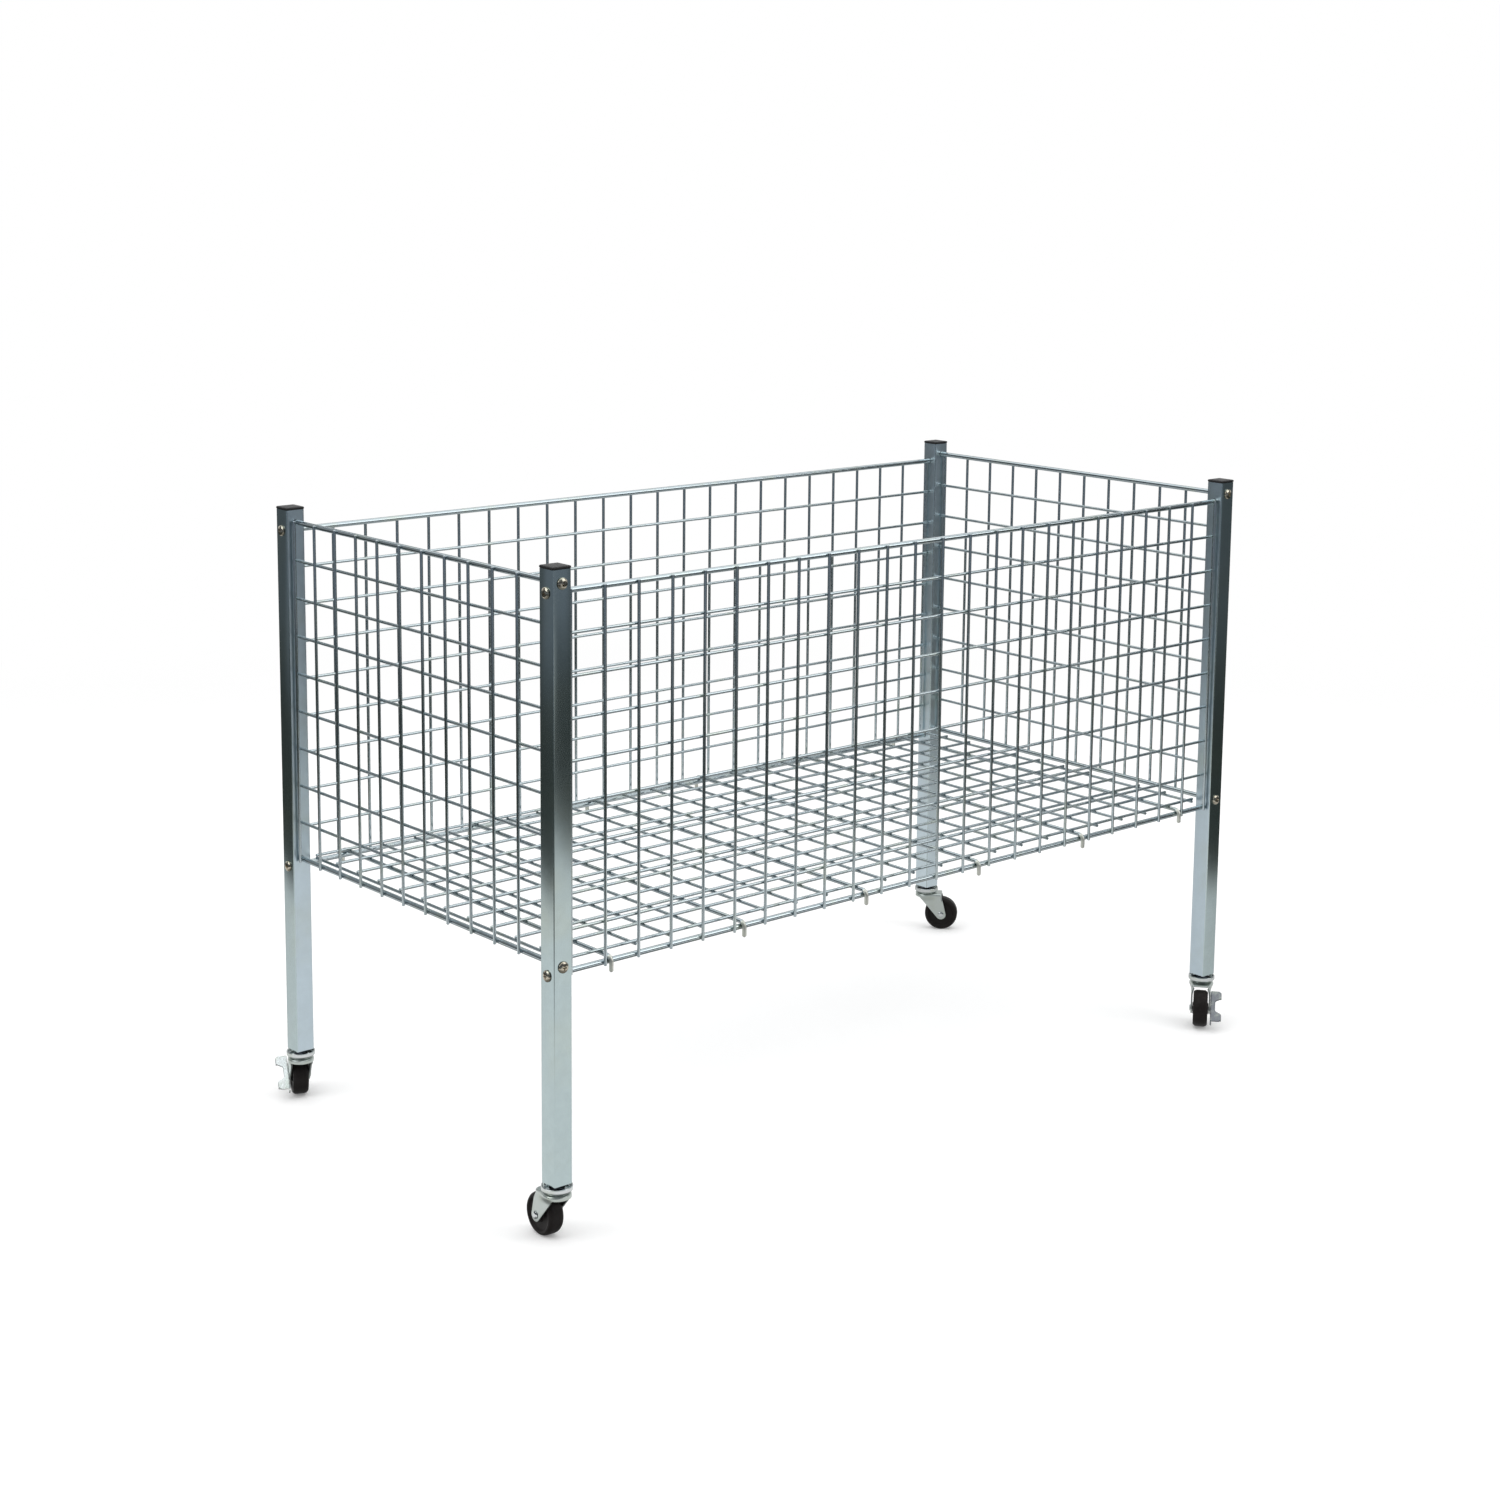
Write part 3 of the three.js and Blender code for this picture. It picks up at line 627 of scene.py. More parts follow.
class DUMPBIN_OT_posts(Operator):
    """Square tube posts with rounded edges and rail holes"""

    bl_idname = "dumpbin.posts"
    bl_label = "Posts"

    def execute(self, context):
        for corner in CORNERS:
            name = f"tube_post_{corner}"
            foot = corner_point(corner)
            inwards_x, inwards_y = -math.copysign(1, foot.x), -math.copysign(1, foot.y)
            tube = carved(post_tube(), rail_drills(inwards_x, inwards_y))
            # Faces turned to the bin get lighter zinc: a painted reflection of the bin's lit inside,
            # strongest on the back right post
            inner = zinc("tube_far_painted_reflection" if corner == "back_right" else "tube_inner_painted_reflection")
            mesh = mesh_of(name, tube, (zinc("tube"), inner), sharp=25)
            for face in mesh.polygons:
                inwards = max(face.normal.x * inwards_x, face.normal.y * inwards_y)
                face.material_index = 1 if inwards > INNER_FACING else 0
            piece(name, mesh, f"post_{corner}", Matrix.Translation(foot))
        return {"FINISHED"}


# Caps


CAP_PLUG_ROOM = 0.0006
CAP_PLUG_CORNER = 0.0012
CAP_PLUG_TAPER = 0.001
CAP_PLUG_FLAT = 0.004
CAP_PLUG_FLAT_CORNER = 0.0008
CAP_UNDER_EASE = 0.0004
CAP_UNDER_RISE = 0.0003
CAP_FILLET = 0.0013
CAP_CROWN = 0.00012
# Rings on the crowned top: share of the cap's width, and depth under the highest point
CAP_CROWN_RINGS = ((0.55, 0.00003), (0.2, 0.0))


class DUMPBIN_OT_caps(Operator):
    """Black caps pushed into the tops of the posts"""

    bl_idname = "dumpbin.caps"
    bl_label = "Caps"

    def execute(self, context):
        s = sizes()
        low, top = heights("cap_front_left")
        seat = top - s.cap_height
        edge = s.post_corner
        outer = s.post_size + 2 * s.cap_lip
        plug = s.post_size - 2 * s.post_wall - CAP_PLUG_ROOM
        rings = [
            rounded_square(plug - CAP_PLUG_FLAT, CAP_PLUG_FLAT_CORNER, low),
            rounded_square(plug - CAP_PLUG_TAPER, CAP_PLUG_CORNER, low),
            rounded_square(plug, CAP_PLUG_CORNER, low + CAP_PLUG_TAPER),
            rounded_square(plug, CAP_PLUG_CORNER, seat),
            rounded_square(outer - CAP_UNDER_EASE, edge, seat),
            rounded_square(outer, edge, seat + CAP_UNDER_RISE),
        ]
        for t in quarter_turns(4):
            inset = CAP_FILLET * (1 - math.cos(t))
            drop = CAP_CROWN + CAP_FILLET * (1 - math.sin(t))
            rings.append(rounded_square(outer - 2 * inset, edge, top - drop))
        for share, drop in CAP_CROWN_RINGS:
            rings.append(rounded_square(outer * share, edge, top - drop))
        bm = bmesh.new()
        loft(bm, rings)
        mesh = mesh_of("post_cap", bm, [moulded("cap")], sharp=40)
        for corner in CORNERS:
            place = Matrix.Translation(corner_point(corner))
            piece(f"post_cap_{corner}", mesh, f"cap_{corner}", place)
        return {"FINISHED"}


# Screws


SCREW_SHANK = 0.002
SCREW_RISE = 0.0032
SCREW_EDGE_EASE = 0.0003
SCREW_RIM = 0.0006
# Power that makes the head fuller than a half ball, the lower the fuller
SCREW_FULLNESS = 0.85
RECESS_DEPTH = 0.0021
RECESS_OVERRUN = 0.001
# Half length and half width of one bar of the cross
RECESS_MOUTH = (0.0039, 0.00105)
RECESS_FLOOR = (0.0017, 0.00055)
SCREW_SEED = 11


def cross_recess():
    """Tapered cross-shaped driver for the recess in a screw's head."""
    ends = ((SCREW_RISE + RECESS_OVERRUN, *RECESS_MOUTH), (SCREW_RISE - RECESS_DEPTH, *RECESS_FLOOR))
    bm = bmesh.new()
    for turn in (0, QUARTER_TURN):
        spin = Matrix.Rotation(turn, 3, "Z")
        rings = []
        for height, long, wide in ends:
            ring = ((-long, -wide), (long, -wide), (long, wide), (-long, wide))
            rings.append([spin @ Vector((x, y, height)) for x, y in reversed(ring)])
        loft(bm, rings)
    return bm


def screw_mesh():
    """Domed screw with its seat at the origin and its head up."""
    head = sizes().screw_head / 2
    low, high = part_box("screw_front_right_side_top")
    tip = SCREW_RISE - (high.x - low.x)
    profile = [(0, tip), (SCREW_SHANK, tip), (SCREW_SHANK, 0)]
    profile += [(head - SCREW_EDGE_EASE, 0), (head, SCREW_EDGE_EASE)]
    for t in quarter_turns(8):
        height = SCREW_RIM + (SCREW_RISE - SCREW_RIM) * math.sin(t)
        profile.append((head * math.cos(t) ** SCREW_FULLNESS, height))
    bm = bmesh.new()
    revolve(bm, profile, segments=28)
    return mesh_of("panel_screw", carved(bm, cross_recess()), [zinc("screw")], sharp=35)


class DUMPBIN_OT_screws(Operator):
    """Domed screws with a cross recess, through the posts into the rails"""

    bl_idname = "dumpbin.screws"
    bl_label = "Screws"

    def execute(self, context):
        mesh = screw_mesh()
        reach = sizes().post_size / 2 + ROOM
        spins = random.Random(SCREW_SEED)
        for corner in CORNERS:
            foot = corner_point(corner)
            for place in ("side_top", "side_bottom", "end_top", "end_bottom"):
                node = f"screw_{corner}_{place}"
                at = middle(node)
                outwards = Vector((at.x - foot.x, at.y - foot.y, 0)).normalized()
                seat = Vector((foot.x, foot.y, at.z)) + outwards * reach
                turn = outwards.to_track_quat("Z", "Y").to_matrix().to_4x4()
                spin = Matrix.Rotation(spins.uniform(0, math.pi), 4, "Z")
                piece(f"panel_{node}", mesh, node, Matrix.Translation(seat) @ turn @ spin)
        return {"FINISHED"}


# Mesh panels and shelf


# How far a wire is pressed into the rail or rod, and into the wire, that it is welded to
RAIL_WELD_SINK = 0.00035
WIRE_WELD_SINK = 0.0001
RAIL_SIDES = 20
# Largest shift, lean and miscut of a wire
WIRE_SHIFT = 0.0002
WIRE_LEAN = 0.0003
WIRE_MISCUT = 0.0003
TOP_MISCUT = 0.0001
WIRE_OVERHANG = 0.003
UPRIGHT_BELOW = 0.0036
UPRIGHT_ABOVE = 0.0026
WIRE_BEAD = (0.0014, 0.0008, 0.0014)
RAIL_BEAD = (0.0019, 0.0011, 0.0021)


def panel_mesh(name, span, height, seed):
    """Welded mesh in its own plane: X along the span, -Y outwards, Z up from the bottom rail."""
    s = sizes()
    jitter = random.Random(seed)
    rail, wire = s.rail / 2, s.wire / 2
    edge = (span - s.post_size) / 2 - s.edge_offset
    gaps = round(2 * edge / s.pitch)
    rows = round(height / s.pitch)
    upright_y = -(rail + wire - RAIL_WELD_SINK)
    wire_y = upright_y + 2 * wire - WIRE_WELD_SINK
    bead_y = upright_y + wire - WIRE_WELD_SINK
    inside = s.post_size - 2 * s.post_wall
    half_rail = (span + inside) / 2 - ROOM
    bm = bmesh.new()
    for z in (0, height):
        wire_along(bm, ((-half_rail, 0, z), (half_rail, 0, z)), rail, RAIL_SIDES)
    levels = [height * k / rows + jitter.uniform(-WIRE_SHIFT, WIRE_SHIFT) for k in range(1, rows)]
    reach = edge + WIRE_OVERHANG
    for z in levels:
        tilt = jitter.uniform(-WIRE_LEAN, WIRE_LEAN)
        wire_along(bm, ((-reach, wire_y, z - tilt), (reach, wire_y, z + tilt)), wire)
    for i in range(gaps + 1):
        x = -edge + 2 * edge * i / gaps + jitter.uniform(-WIRE_SHIFT, WIRE_SHIFT)
        lean = jitter.uniform(-WIRE_LEAN, WIRE_LEAN)
        foot = jitter.uniform(-WIRE_MISCUT, WIRE_MISCUT) - UPRIGHT_BELOW
        head = jitter.uniform(-WIRE_MISCUT, TOP_MISCUT) + UPRIGHT_ABOVE + height
        wire_along(bm, ((x - lean, upright_y, foot), (x + lean, upright_y, head)), wire)
        for z in levels:
            weld_bead(bm, Vector((x, bead_y, z)), WIRE_BEAD)
        for z in (0, height):
            weld_bead(bm, Vector((x, bead_y, z)), RAIL_BEAD)
    return mesh_of(name, bm, [zinc("wire")])


class DUMPBIN_OT_panels(Operator):
    """Welded mesh panels between the posts"""

    bl_idname = "dumpbin.panels"
    bl_label = "Mesh panels"

    def execute(self, context):
        half_long, half_short = SPAN_LONG / 2, SPAN_SHORT / 2
        side = (SPAN_LONG, SIDE_RAIL_BOTTOM, SIDE_RAIL_TOP)
        end = (SPAN_SHORT, END_RAIL_BOTTOM, END_RAIL_TOP)
        for where, x, y, turn, (span, bottom, top), seed in (
            ("front", 0, -half_short, 0, side, 3),
            ("back", 0, half_short, math.pi, side, 5),
            ("left", -half_long, 0, -QUARTER_TURN, end, 7),
            ("right", half_long, 0, QUARTER_TURN, end, 9),
        ):
            name = f"mesh_panel_{where}"
            mesh = panel_mesh(name, span, top - bottom, seed)
            place = Matrix.Translation((x, y, bottom)) @ Matrix.Rotation(turn, 4, "Z")
            piece(name, mesh, f"panel_{where}", place)
        return {"FINISHED"}


SHELF_GAPS_LONG = 22
SHELF_GAPS_SHORT = 11
# Every fourth cross wire is a hook rod, from the second one on
HOOK_STEP = 4
HOOK_FIRST = 1
HOOK_SIDES = 18
HOOK_END_EASE = 0.0015
SHELF_WIRE_OVERHANG = 0.0015
SHELF_WIRE_EASE = 0.001
SHELF_SEED = 21


def hook_path(x, bend, low):
    """Middle line of a hook rod: level across the shelf, bent down over both long rails to the height low."""
    rail_y = SPAN_SHORT / 2
    half = [(x, rail_y + bend, low)]
    for t in quarter_turns(8):
        half.append((x, rail_y + bend * math.cos(t), bend * (math.sin(t) - 1)))
    return half + [(x, -y, z) for x, y, z in reversed(half)]


class DUMPBIN_OT_shelf(Operator):
    """Wire shelf with rods hooked over the long panels' bottom rails"""

    bl_idname = "dumpbin.shelf"
    bl_label = "Hook shelf"

    end_gap: length("End gap", "Short rail's axis to the outermost shelf wire", 0.02325)
    side_gap: length("Side gap", "Long rail's axis to the shelf's edge wire", 0.012)
    clearance: length("Hook clearance", "Hook to the rail that it hangs on", 0.0009)

    def execute(self, context):
        s = sizes()
        jitter = random.Random(SHELF_SEED)
        rod, wire, rail = s.rod / 2, s.wire / 2, s.rail / 2
        low, _ = heights("shelf")
        rod_z = SIDE_RAIL_BOTTOM + rail + ROOM + rod
        half_x = SPAN_LONG / 2 - self.end_gap
        half_y = SPAN_SHORT / 2 - self.side_gap
        long_z = rod + wire - RAIL_WELD_SINK
        cross_z = long_z - 2 * wire + WIRE_WELD_SINK
        bend = rail + self.clearance + rod
        rows = []
        for k in range(SHELF_GAPS_SHORT + 1):
            rows.append(-half_y + 2 * half_y * k / SHELF_GAPS_SHORT + jitter.uniform(-WIRE_SHIFT, WIRE_SHIFT))
        bm = bmesh.new()
        reach = half_y + SHELF_WIRE_OVERHANG
        for i in range(SHELF_GAPS_LONG + 1):
            x = -half_x + 2 * half_x * i / SHELF_GAPS_LONG
            if i % HOOK_STEP == HOOK_FIRST:
                wire_along(bm, hook_path(x, bend, low - rod_z), rod, HOOK_SIDES, HOOK_END_EASE)
            else:
                x += jitter.uniform(-WIRE_LEAN, WIRE_LEAN)
                wire_along(bm, ((x, -reach, cross_z), (x, reach, cross_z)), wire, ease=SHELF_WIRE_EASE)
        reach = half_x + SHELF_WIRE_OVERHANG
        for y in rows:
            wire_along(bm, ((-reach, y, long_z), (reach, y, long_z)), wire, ease=SHELF_WIRE_EASE)
        mesh = mesh_of("hook_shelf", bm, (zinc("shelf"), zinc("hook")))
        # Faces beyond the long rails, on the hooks' ends, get the paler cream zinc
        for face in mesh.polygons:
            face.material_index = 1 if abs(face.center.y) > SPAN_SHORT / 2 + rail else 0
        piece("hook_shelf", mesh, "shelf", Matrix.Translation((0, 0, rod_z)))
        return {"FINISHED"}


# Casters


RACE_HEIGHT = 0.0015
PLATE_TOP = FORK_TOP - RACE_HEIGHT


def stem_mesh():
    """Stem, swivel cup and kingpin in one turned shape."""
    cup = sizes().cup / 2
    shank, pin, pin_drop = 0.005, 0.0075, 0.0028
    depth, taper, lip, wall, edge = 0.005, 0.0022, 0.0016, 0.0018, 0.0007
    bottom = FORK_TOP + ROOM
    floor = NUT_FOOT - ROOM
    rim = floor + depth
    pin_top = PLATE_TOP - pin_drop
    outline = [(0, STEM_FOOT), (pin, STEM_FOOT), (pin, pin_top), (shank, pin_top), (shank, bottom)]
    outline += [(cup - taper, bottom), (cup, floor), (cup, rim), (cup - lip, rim), (cup - wall, floor)]
    outline += [(shank, floor), (shank, STEM_TOP), (0, STEM_TOP)]
    bm = bmesh.new()
    revolve(bm, rounded(outline, edge), segments=56)
    return mesh_of("swivel_stem", bm, [zinc("polished")], sharp=38)


def nut_mesh():
    """Hex nut with bevelled ends. flats is half its width across the flats."""
    flats, bevel_drop, bevel_depth = 0.0085, 0.0006, 0.0009
    low, high = NUT_FOOT, NUT_TOP
    ends = (low, bevel_depth), (low + bevel_drop, 0), (high - bevel_drop, 0), (high, bevel_depth)
    rings = []
    for z, pull in ends:
        reach = flats / math.cos(math.pi / 6) - pull
        rings.append([(reach * math.cos(t), reach * math.sin(t), z) for t in full_turns(6)])
    bm = bmesh.new()
    loft(bm, rings)
    return mesh_of("lock_nut", bm, [zinc("nut")], sharp=20)


class DUMPBIN_OT_stems(Operator):
    """Swivel stems with the upper cup, and the hex nuts that lock them under the posts"""

    bl_idname = "dumpbin.stems"
    bl_label = "Stems and nuts"

    def execute(self, context):
        caster_pieces("swivel_stem", stem_mesh(), "stem")
        caster_pieces("lock_nut", nut_mesh(), "nut")
        return {"FINISHED"}


class DUMPBIN_OT_inserts(Operator):
    """Nylon inserts in the feet of the posts"""

    bl_idname = "dumpbin.inserts"
    bl_label = "Inserts"

    def execute(self, context):
        for corner in CORNERS:
            node = frame["nodes"][f"insert_{corner}"]
            node.data.materials.clear()
            node.data.materials.append(moulded("insert"))
        return {"FINISHED"}


# Forks and axles


FORK_HEAD = 0.0175
FORK_TAIL = 0.0258
FORK_TAIL_CORNER = 0.0028
FORK_BEND = 0.003
FORK_SKIRT = 0.0055
# Run behind the swivel over which the plate narrows from its round head to the legs
FORK_NARROWING = 0.022
LEG_FRONT = -0.01
LEG_SHOULDER = -0.0105
LEG_END = 0.008
# Depth under the plate's bend at which a leg has come straight
LEG_STRAIGHT = 0.009
FORK_EDGE_EASE = 0.0004
FORK_EASE_ANGLE = math.radians(50)
RACE_RADII = (0.0055, 0.0135)
RACE_SINK = 0.0005
RACE_EDGE = 0.0005
PEDAL_SHEET = 0.002


def leg_face():
    """Outer face of a fork's leg, from the wheel's middle."""
    return sizes().hub_width / 2 + ROOM + sizes().fork_sheet


AXLE = Vector((TRAIL, WHEEL_RADIUS))
LEG_START = Vector((LEG_FRONT, PLATE_TOP - FORK_SKIRT))
BEND_FOOT = PLATE_TOP - FORK_BEND
# Point where a leg's straight front edge meets its round end
LEG_REACH = LEG_START - AXLE
LEG_TURN = math.atan2(LEG_REACH.y, LEG_REACH.x) + math.acos(LEG_END / LEG_REACH.length)
LEG_FOOT = AXLE + LEG_END * Vector((math.cos(LEG_TURN), math.sin(LEG_TURN)))
# Steps down a leg, over the plate, and along the fork from its swivel to the legs' ends
LEG_STEPS = 8
PLATE_STEPS = 4
FRONT_STEPS = 12


def fork_half_width(x):
    """Half the fork's width at the plate."""
    if x <= 0:
        return math.sqrt(max(FORK_HEAD**2 - x**2, 0))
    wide = FORK_HEAD + (leg_face() - FORK_HEAD) * smooth(min(x / FORK_NARROWING, 1))
    past = max(x - FORK_TAIL + FORK_TAIL_CORNER, 0) / FORK_TAIL_CORNER
    return wide - FORK_TAIL_CORNER * (1 - math.sqrt(1 - past**2))


def leg_low_edge(x):
    """Low edge of a leg: level, then straight down, then round the leg's end."""
    if x < LEG_START.x:
        return LEG_START.y
    if x < LEG_FOOT.x:
        return LEG_START.y + (LEG_FOOT.y - LEG_START.y) * (x - LEG_START.x) / (LEG_FOOT.x - LEG_START.x)
    return AXLE.y - math.sqrt(max(LEG_END**2 - (x - AXLE.x) ** 2, 0))


def leg_high_edge(x):
    """Top of a leg's own part, at the foot of the plate's bend or on the slope behind the plate."""
    if x <= FORK_TAIL:
        return BEND_FOOT
    t = (x - FORK_TAIL) / (AXLE.x + LEG_END - FORK_TAIL)
    return BEND_FOOT + (AXLE.y - BEND_FOOT) * t


def fork_stations():
    """Places along X at which the fork's skin is cut into columns."""
    found = [-FORK_HEAD * math.cos(t) for t in quarter_turns(12)]
    found += [LEG_FOOT.x * (i + 1) / FRONT_STEPS for i in range(FRONT_STEPS)]
    found += [AXLE.x - LEG_END * math.cos(t) for t in half_turns(24)[1:]]
    found += [FORK_TAIL - FORK_TAIL_CORNER * (1 - math.sin(t)) for t in quarter_turns(5)[1:]]
    return sorted(found)


def fork_column(x, side):
    """Points from the low edge up a leg, round the bend and over the plate to its middle."""
    wide = fork_half_width(min(x, FORK_TAIL))
    straight = leg_face() if x > LEG_SHOULDER else wide
    low, high = leg_low_edge(x), leg_high_edge(x)
    points = []
    for k in range(LEG_STEPS + 1):
        z = low + (high - low) * k / LEG_STEPS
        drop = smooth(min(max((BEND_FOOT - z) / LEG_STRAIGHT, 0), 1))
        points.append((x, side * (wide + (straight - wide) * drop), z))
    if x > FORK_TAIL + TINY:
        return points
    inner = max(wide - FORK_BEND, 0)
    for t in quarter_turns(6)[1:]:
        y = inner + (wide - inner) * math.cos(t)
        points.append((x, side * y, BEND_FOOT + FORK_BEND * math.sin(t)))
    for k in range(PLATE_STEPS):
        points.append((x, side * inner * (1 - (k + 1) / PLATE_STEPS), PLATE_TOP))
    return points


def fork_skin():
    """Outer skin of both halves of the fork, facing out."""
    bm = bmesh.new()
    for side in (-1, 1):
        columns = []
        for x in fork_stations():
            columns.append([bm.verts.new(p) for p in fork_column(x, side)])
        for a, b in zip(columns, columns[1:]):
            for k in range(min(len(a), len(b)) - 1):
                bm.faces.new((a[k], b[k], b[k + 1], a[k + 1]))
    bmesh.ops.remove_doubles(bm, verts=bm.verts, dist=2e-5)
    bmesh.ops.dissolve_degenerate(bm, edges=bm.edges, dist=1e-6)
    bmesh.ops.recalc_face_normals(bm, faces=bm.faces)
    up_face = max(bm.faces, key=lambda f: f.calc_center_median().z)
    if up_face.normal.z < 0:
        bmesh.ops.reverse_faces(bm, faces=bm.faces)
    return bm


def fork_mesh():
    """Pressed fork: a sheet drawn over a round head, with a leg down each side to the axle."""
    body = linked("fork_skin", bare_mesh("fork_skin", fork_skin()))
    thick = body.modifiers.new("sheet", "SOLIDIFY")
    thick.thickness = sizes().fork_sheet
    thick.offset = -1
    thick.use_even_offset = False
    ease = body.modifiers.new("ease", "BEVEL")
    ease.width = FORK_EDGE_EASE
    ease.segments = 2
    ease.limit_method = "ANGLE"
    ease.angle_limit = FORK_EASE_ANGLE
    bm = modified(body)
    near, far = RACE_RADII
    low, high = PLATE_TOP - RACE_SINK, FORK_TOP
    race = [(near, low), (far, low), (far, high), (near, high), (near, low)]
    revolve(bm, rounded(race, RACE_EDGE) + race[:1], segments=48)
    return mesh_of("pressed_fork", bm, [zinc("fork")], sharp=40)


def axle_mesh(name, beside):
    """Riveted axle. beside is the room that it has on one side for a pedal."""
    near = leg_face() + ROOM
    far = near + beside
    pin, head, rise, edge = 0.003, 0.005, 0.0018, 0.0006
    flat, rim = head * 0.55, rise * 0.35
    end = [(pin, 0), (head, 0), (head, rim), (flat, rise), (0, rise)]
    outline = [(r, -near - h) for r, h in reversed(end)] + [(r, far + h) for r, h in end]
    bm = bmesh.new()
    revolve(bm, rounded(outline, edge), segments=32)
    bm.transform(ON_AXLE)
    return mesh_of(name, bm, [zinc("polished")], sharp=38)


class DUMPBIN_OT_forks(Operator):
    """Pressed forks with riveted axles"""

    bl_idname = "dumpbin.forks"
    bl_label = "Forks and axles"

    def execute(self, context):
        caster_pieces("pressed_fork", fork_mesh(), "fork")
        plain = axle_mesh("plain_axle", 0)
        braked = axle_mesh("braked_axle", PEDAL_SHEET + ROOM)
        for corner in CORNERS:
            mesh = braked if corner in BRAKED else plain
            place = caster_matrix(corner)
            piece(f"riveted_axle_{corner}", mesh, f"axle_{corner}", place)
        return {"FINISHED"}


# Wheels


# From the dish over the rim to the crown: depth under the tread, and depth inside the side face
WHEEL_SIDE = ((0.0075, 0.0022), (0.0058, 0.0), (0.0026, 0.0), (0.0003, 0.0032), (0.0, 0.0062))


class DUMPBIN_OT_wheels(Operator):
    """Black wheels with a crowned tread, dished sides and a hub"""

    bl_idname = "dumpbin.wheels"
    bl_label = "Wheels"

    def execute(self, context):
        half, hub_half = sizes().wheel_width / 2, sizes().hub_width / 2
        bore, hub, flare, dish, edge = 0.0033, 0.0085, 0.0006, 0.0026, 0.0016
        side = [(bore, hub_half), (hub, hub_half), (hub + flare, half - dish)]
        side += [(WHEEL_RADIUS - under, half - inside) for under, inside in WHEEL_SIDE]
        mirrored = [(r, -h) for r, h in reversed(side)]
        bm = bmesh.new()
        revolve(bm, rounded(side + mirrored + side[:1], edge, steps=5), segments=72)
        bm.transform(ON_AXLE)
        mesh = mesh_of("caster_wheel", bm, [moulded("wheel")], sharp=45)
        caster_pieces("caster_wheel", mesh, "wheel")
        return {"FINISHED"}


# Brake pedals


def slab(bm, outline, low, high, ease, lay):
    """Sheet cut to an outline, with eased edges. lay gives the place of an outline's point at a height."""
    rings = []
    for height, pull in ((low, ease), (low + ease, 0), (high - ease, 0), (high, ease)):
        ring = []
        for i, point in enumerate(outline):
            along = Vector(outline[(i + 1) % len(outline)]) - Vector(outline[i - 1])
            inwards = Vector((-along.y, along.x)).normalized()
            at = Vector(point) + inwards * pull
            ring.append(lay(at.x, at.y, height))
        rings.append(ring)
    loft(bm, rings)


def lay_level(x, y, z):
    """For an outline in X and Y, with heights along Z."""
    return (x, y, z)


def lay_upright(x, z, y):
    """For an outline in X and Z, with heights along Y."""
    return (x, y, z)


def pedal_mesh(name, plating, tilt):
    """Rocking pedal: a plate beside the fork, and a flange on its top with a foot pad at each end."""
    reach, half, waist, run_in = 0.02, 0.0075, 0.007, 0.005
    pad_wide, pad_half, pad_corner, pad_edge = 0.016, 0.0065, 0.003, 0.0026
    lip_drop, lip_sink, lip_edge = 0.005, 0.0006, 0.0016
    lip_start, lip_stop = 0.0003, 0.0027
    plate_ease, flange_ease, lip_ease = 0.0004, 0.0005, 0.0006
    bm = bmesh.new()
    turns = [t - QUARTER_TURN for t in half_turns(20)]
    plate = [(reach + half * math.cos(t), half * math.sin(t)) for t in turns]
    plate += [(-x, -z) for x, z in plate]
    slab(bm, plate, 0, PEDAL_SHEET, plate_ease, lay_upright)
    near, far = reach - pad_half, reach + pad_half
    wing = [(far, 0), (far, pad_wide - pad_corner), (far - pad_corner, pad_wide), (near, pad_wide)]
    wing.append((near - run_in, waist))
    plan = [(0, 0)] + wing + [(-x, y) for x, y in reversed(wing)] + [(0, 0)]
    slab(bm, rounded(plan, pad_edge, steps=5)[:-1], half - PEDAL_SHEET, half, flange_ease, lay_level)
    top, foot = half - lip_sink, half - lip_drop
    for side in (-1, 1):
        a, b = sorted((side * (near + lip_start), side * (far - lip_stop)))
        start = ((a + b) / 2, top)
        lip = rounded([start, (a, top), (a, foot), (b, foot), (b, top), start], lip_edge)[:-1]
        slab(bm, lip, pad_wide - PEDAL_SHEET, pad_wide, lip_ease, lay_upright)
    beside = Matrix.Translation((TRAIL, leg_face() + ROOM, WHEEL_RADIUS))
    bm.transform(beside @ Matrix.Rotation(-tilt, 4, "Y"))
    return mesh_of(name, bm, [plating], sharp=35)


class DUMPBIN_OT_pedals(Operator):
    """Rocking brake pedals beside two of the forks"""

    bl_idname = "dumpbin.pedals"
    bl_label = "Brake pedals"

    tilt: FloatProperty(
        name="Tilt", description="Turn of a pedal at rest", default=math.radians(36), subtype="ANGLE"
    )

    def execute(self, context):
        for corner in BRAKED:
            name = f"rocker_pedal_{corner}"
            back_pad_up = joint(f"brake_{corner}")["range_deg"][1] > 0
            # Same zinc on both pedals: a painted bright reflection at the back left, a painted dark
            # reflection at the front right
            plating = zinc("pedal_painted_bright" if corner == "back_left" else "pedal_painted_dark")
            mesh = pedal_mesh(name, plating, self.tilt if back_pad_up else -self.tilt)
            piece(name, mesh, f"brake_pedal_{corner}", caster_matrix(corner))
        return {"FINISHED"}


# Stage


CAMERA_PLACE = Vector((-2.2797, -2.5590, 1.2908))
# Azimuth, elevation and roll in degrees
CAMERA_TURN = (-41.06, 9.104, 0.531)
FRAME_PIXELS = 1500
FOCAL_PIXELS = 2534
AXIS_ROW = 540
SENSOR_WIDTH = 36
LAMP_AIM = Vector((0, 0, 0.4))

# Areas of the floor as the zinc mirrors it: each edge's direction, its band in metres and its two levels
RISE = (0.0, 1.0)
FALL = (1.0, 0.0)
SWEEP = (("across", (-1.74, -1.52), RISE), ("across", (1.26, 1.5), FALL), ("nearer", (1.02, 1.9), FALL))
SWEEP_LEVEL = 1.02
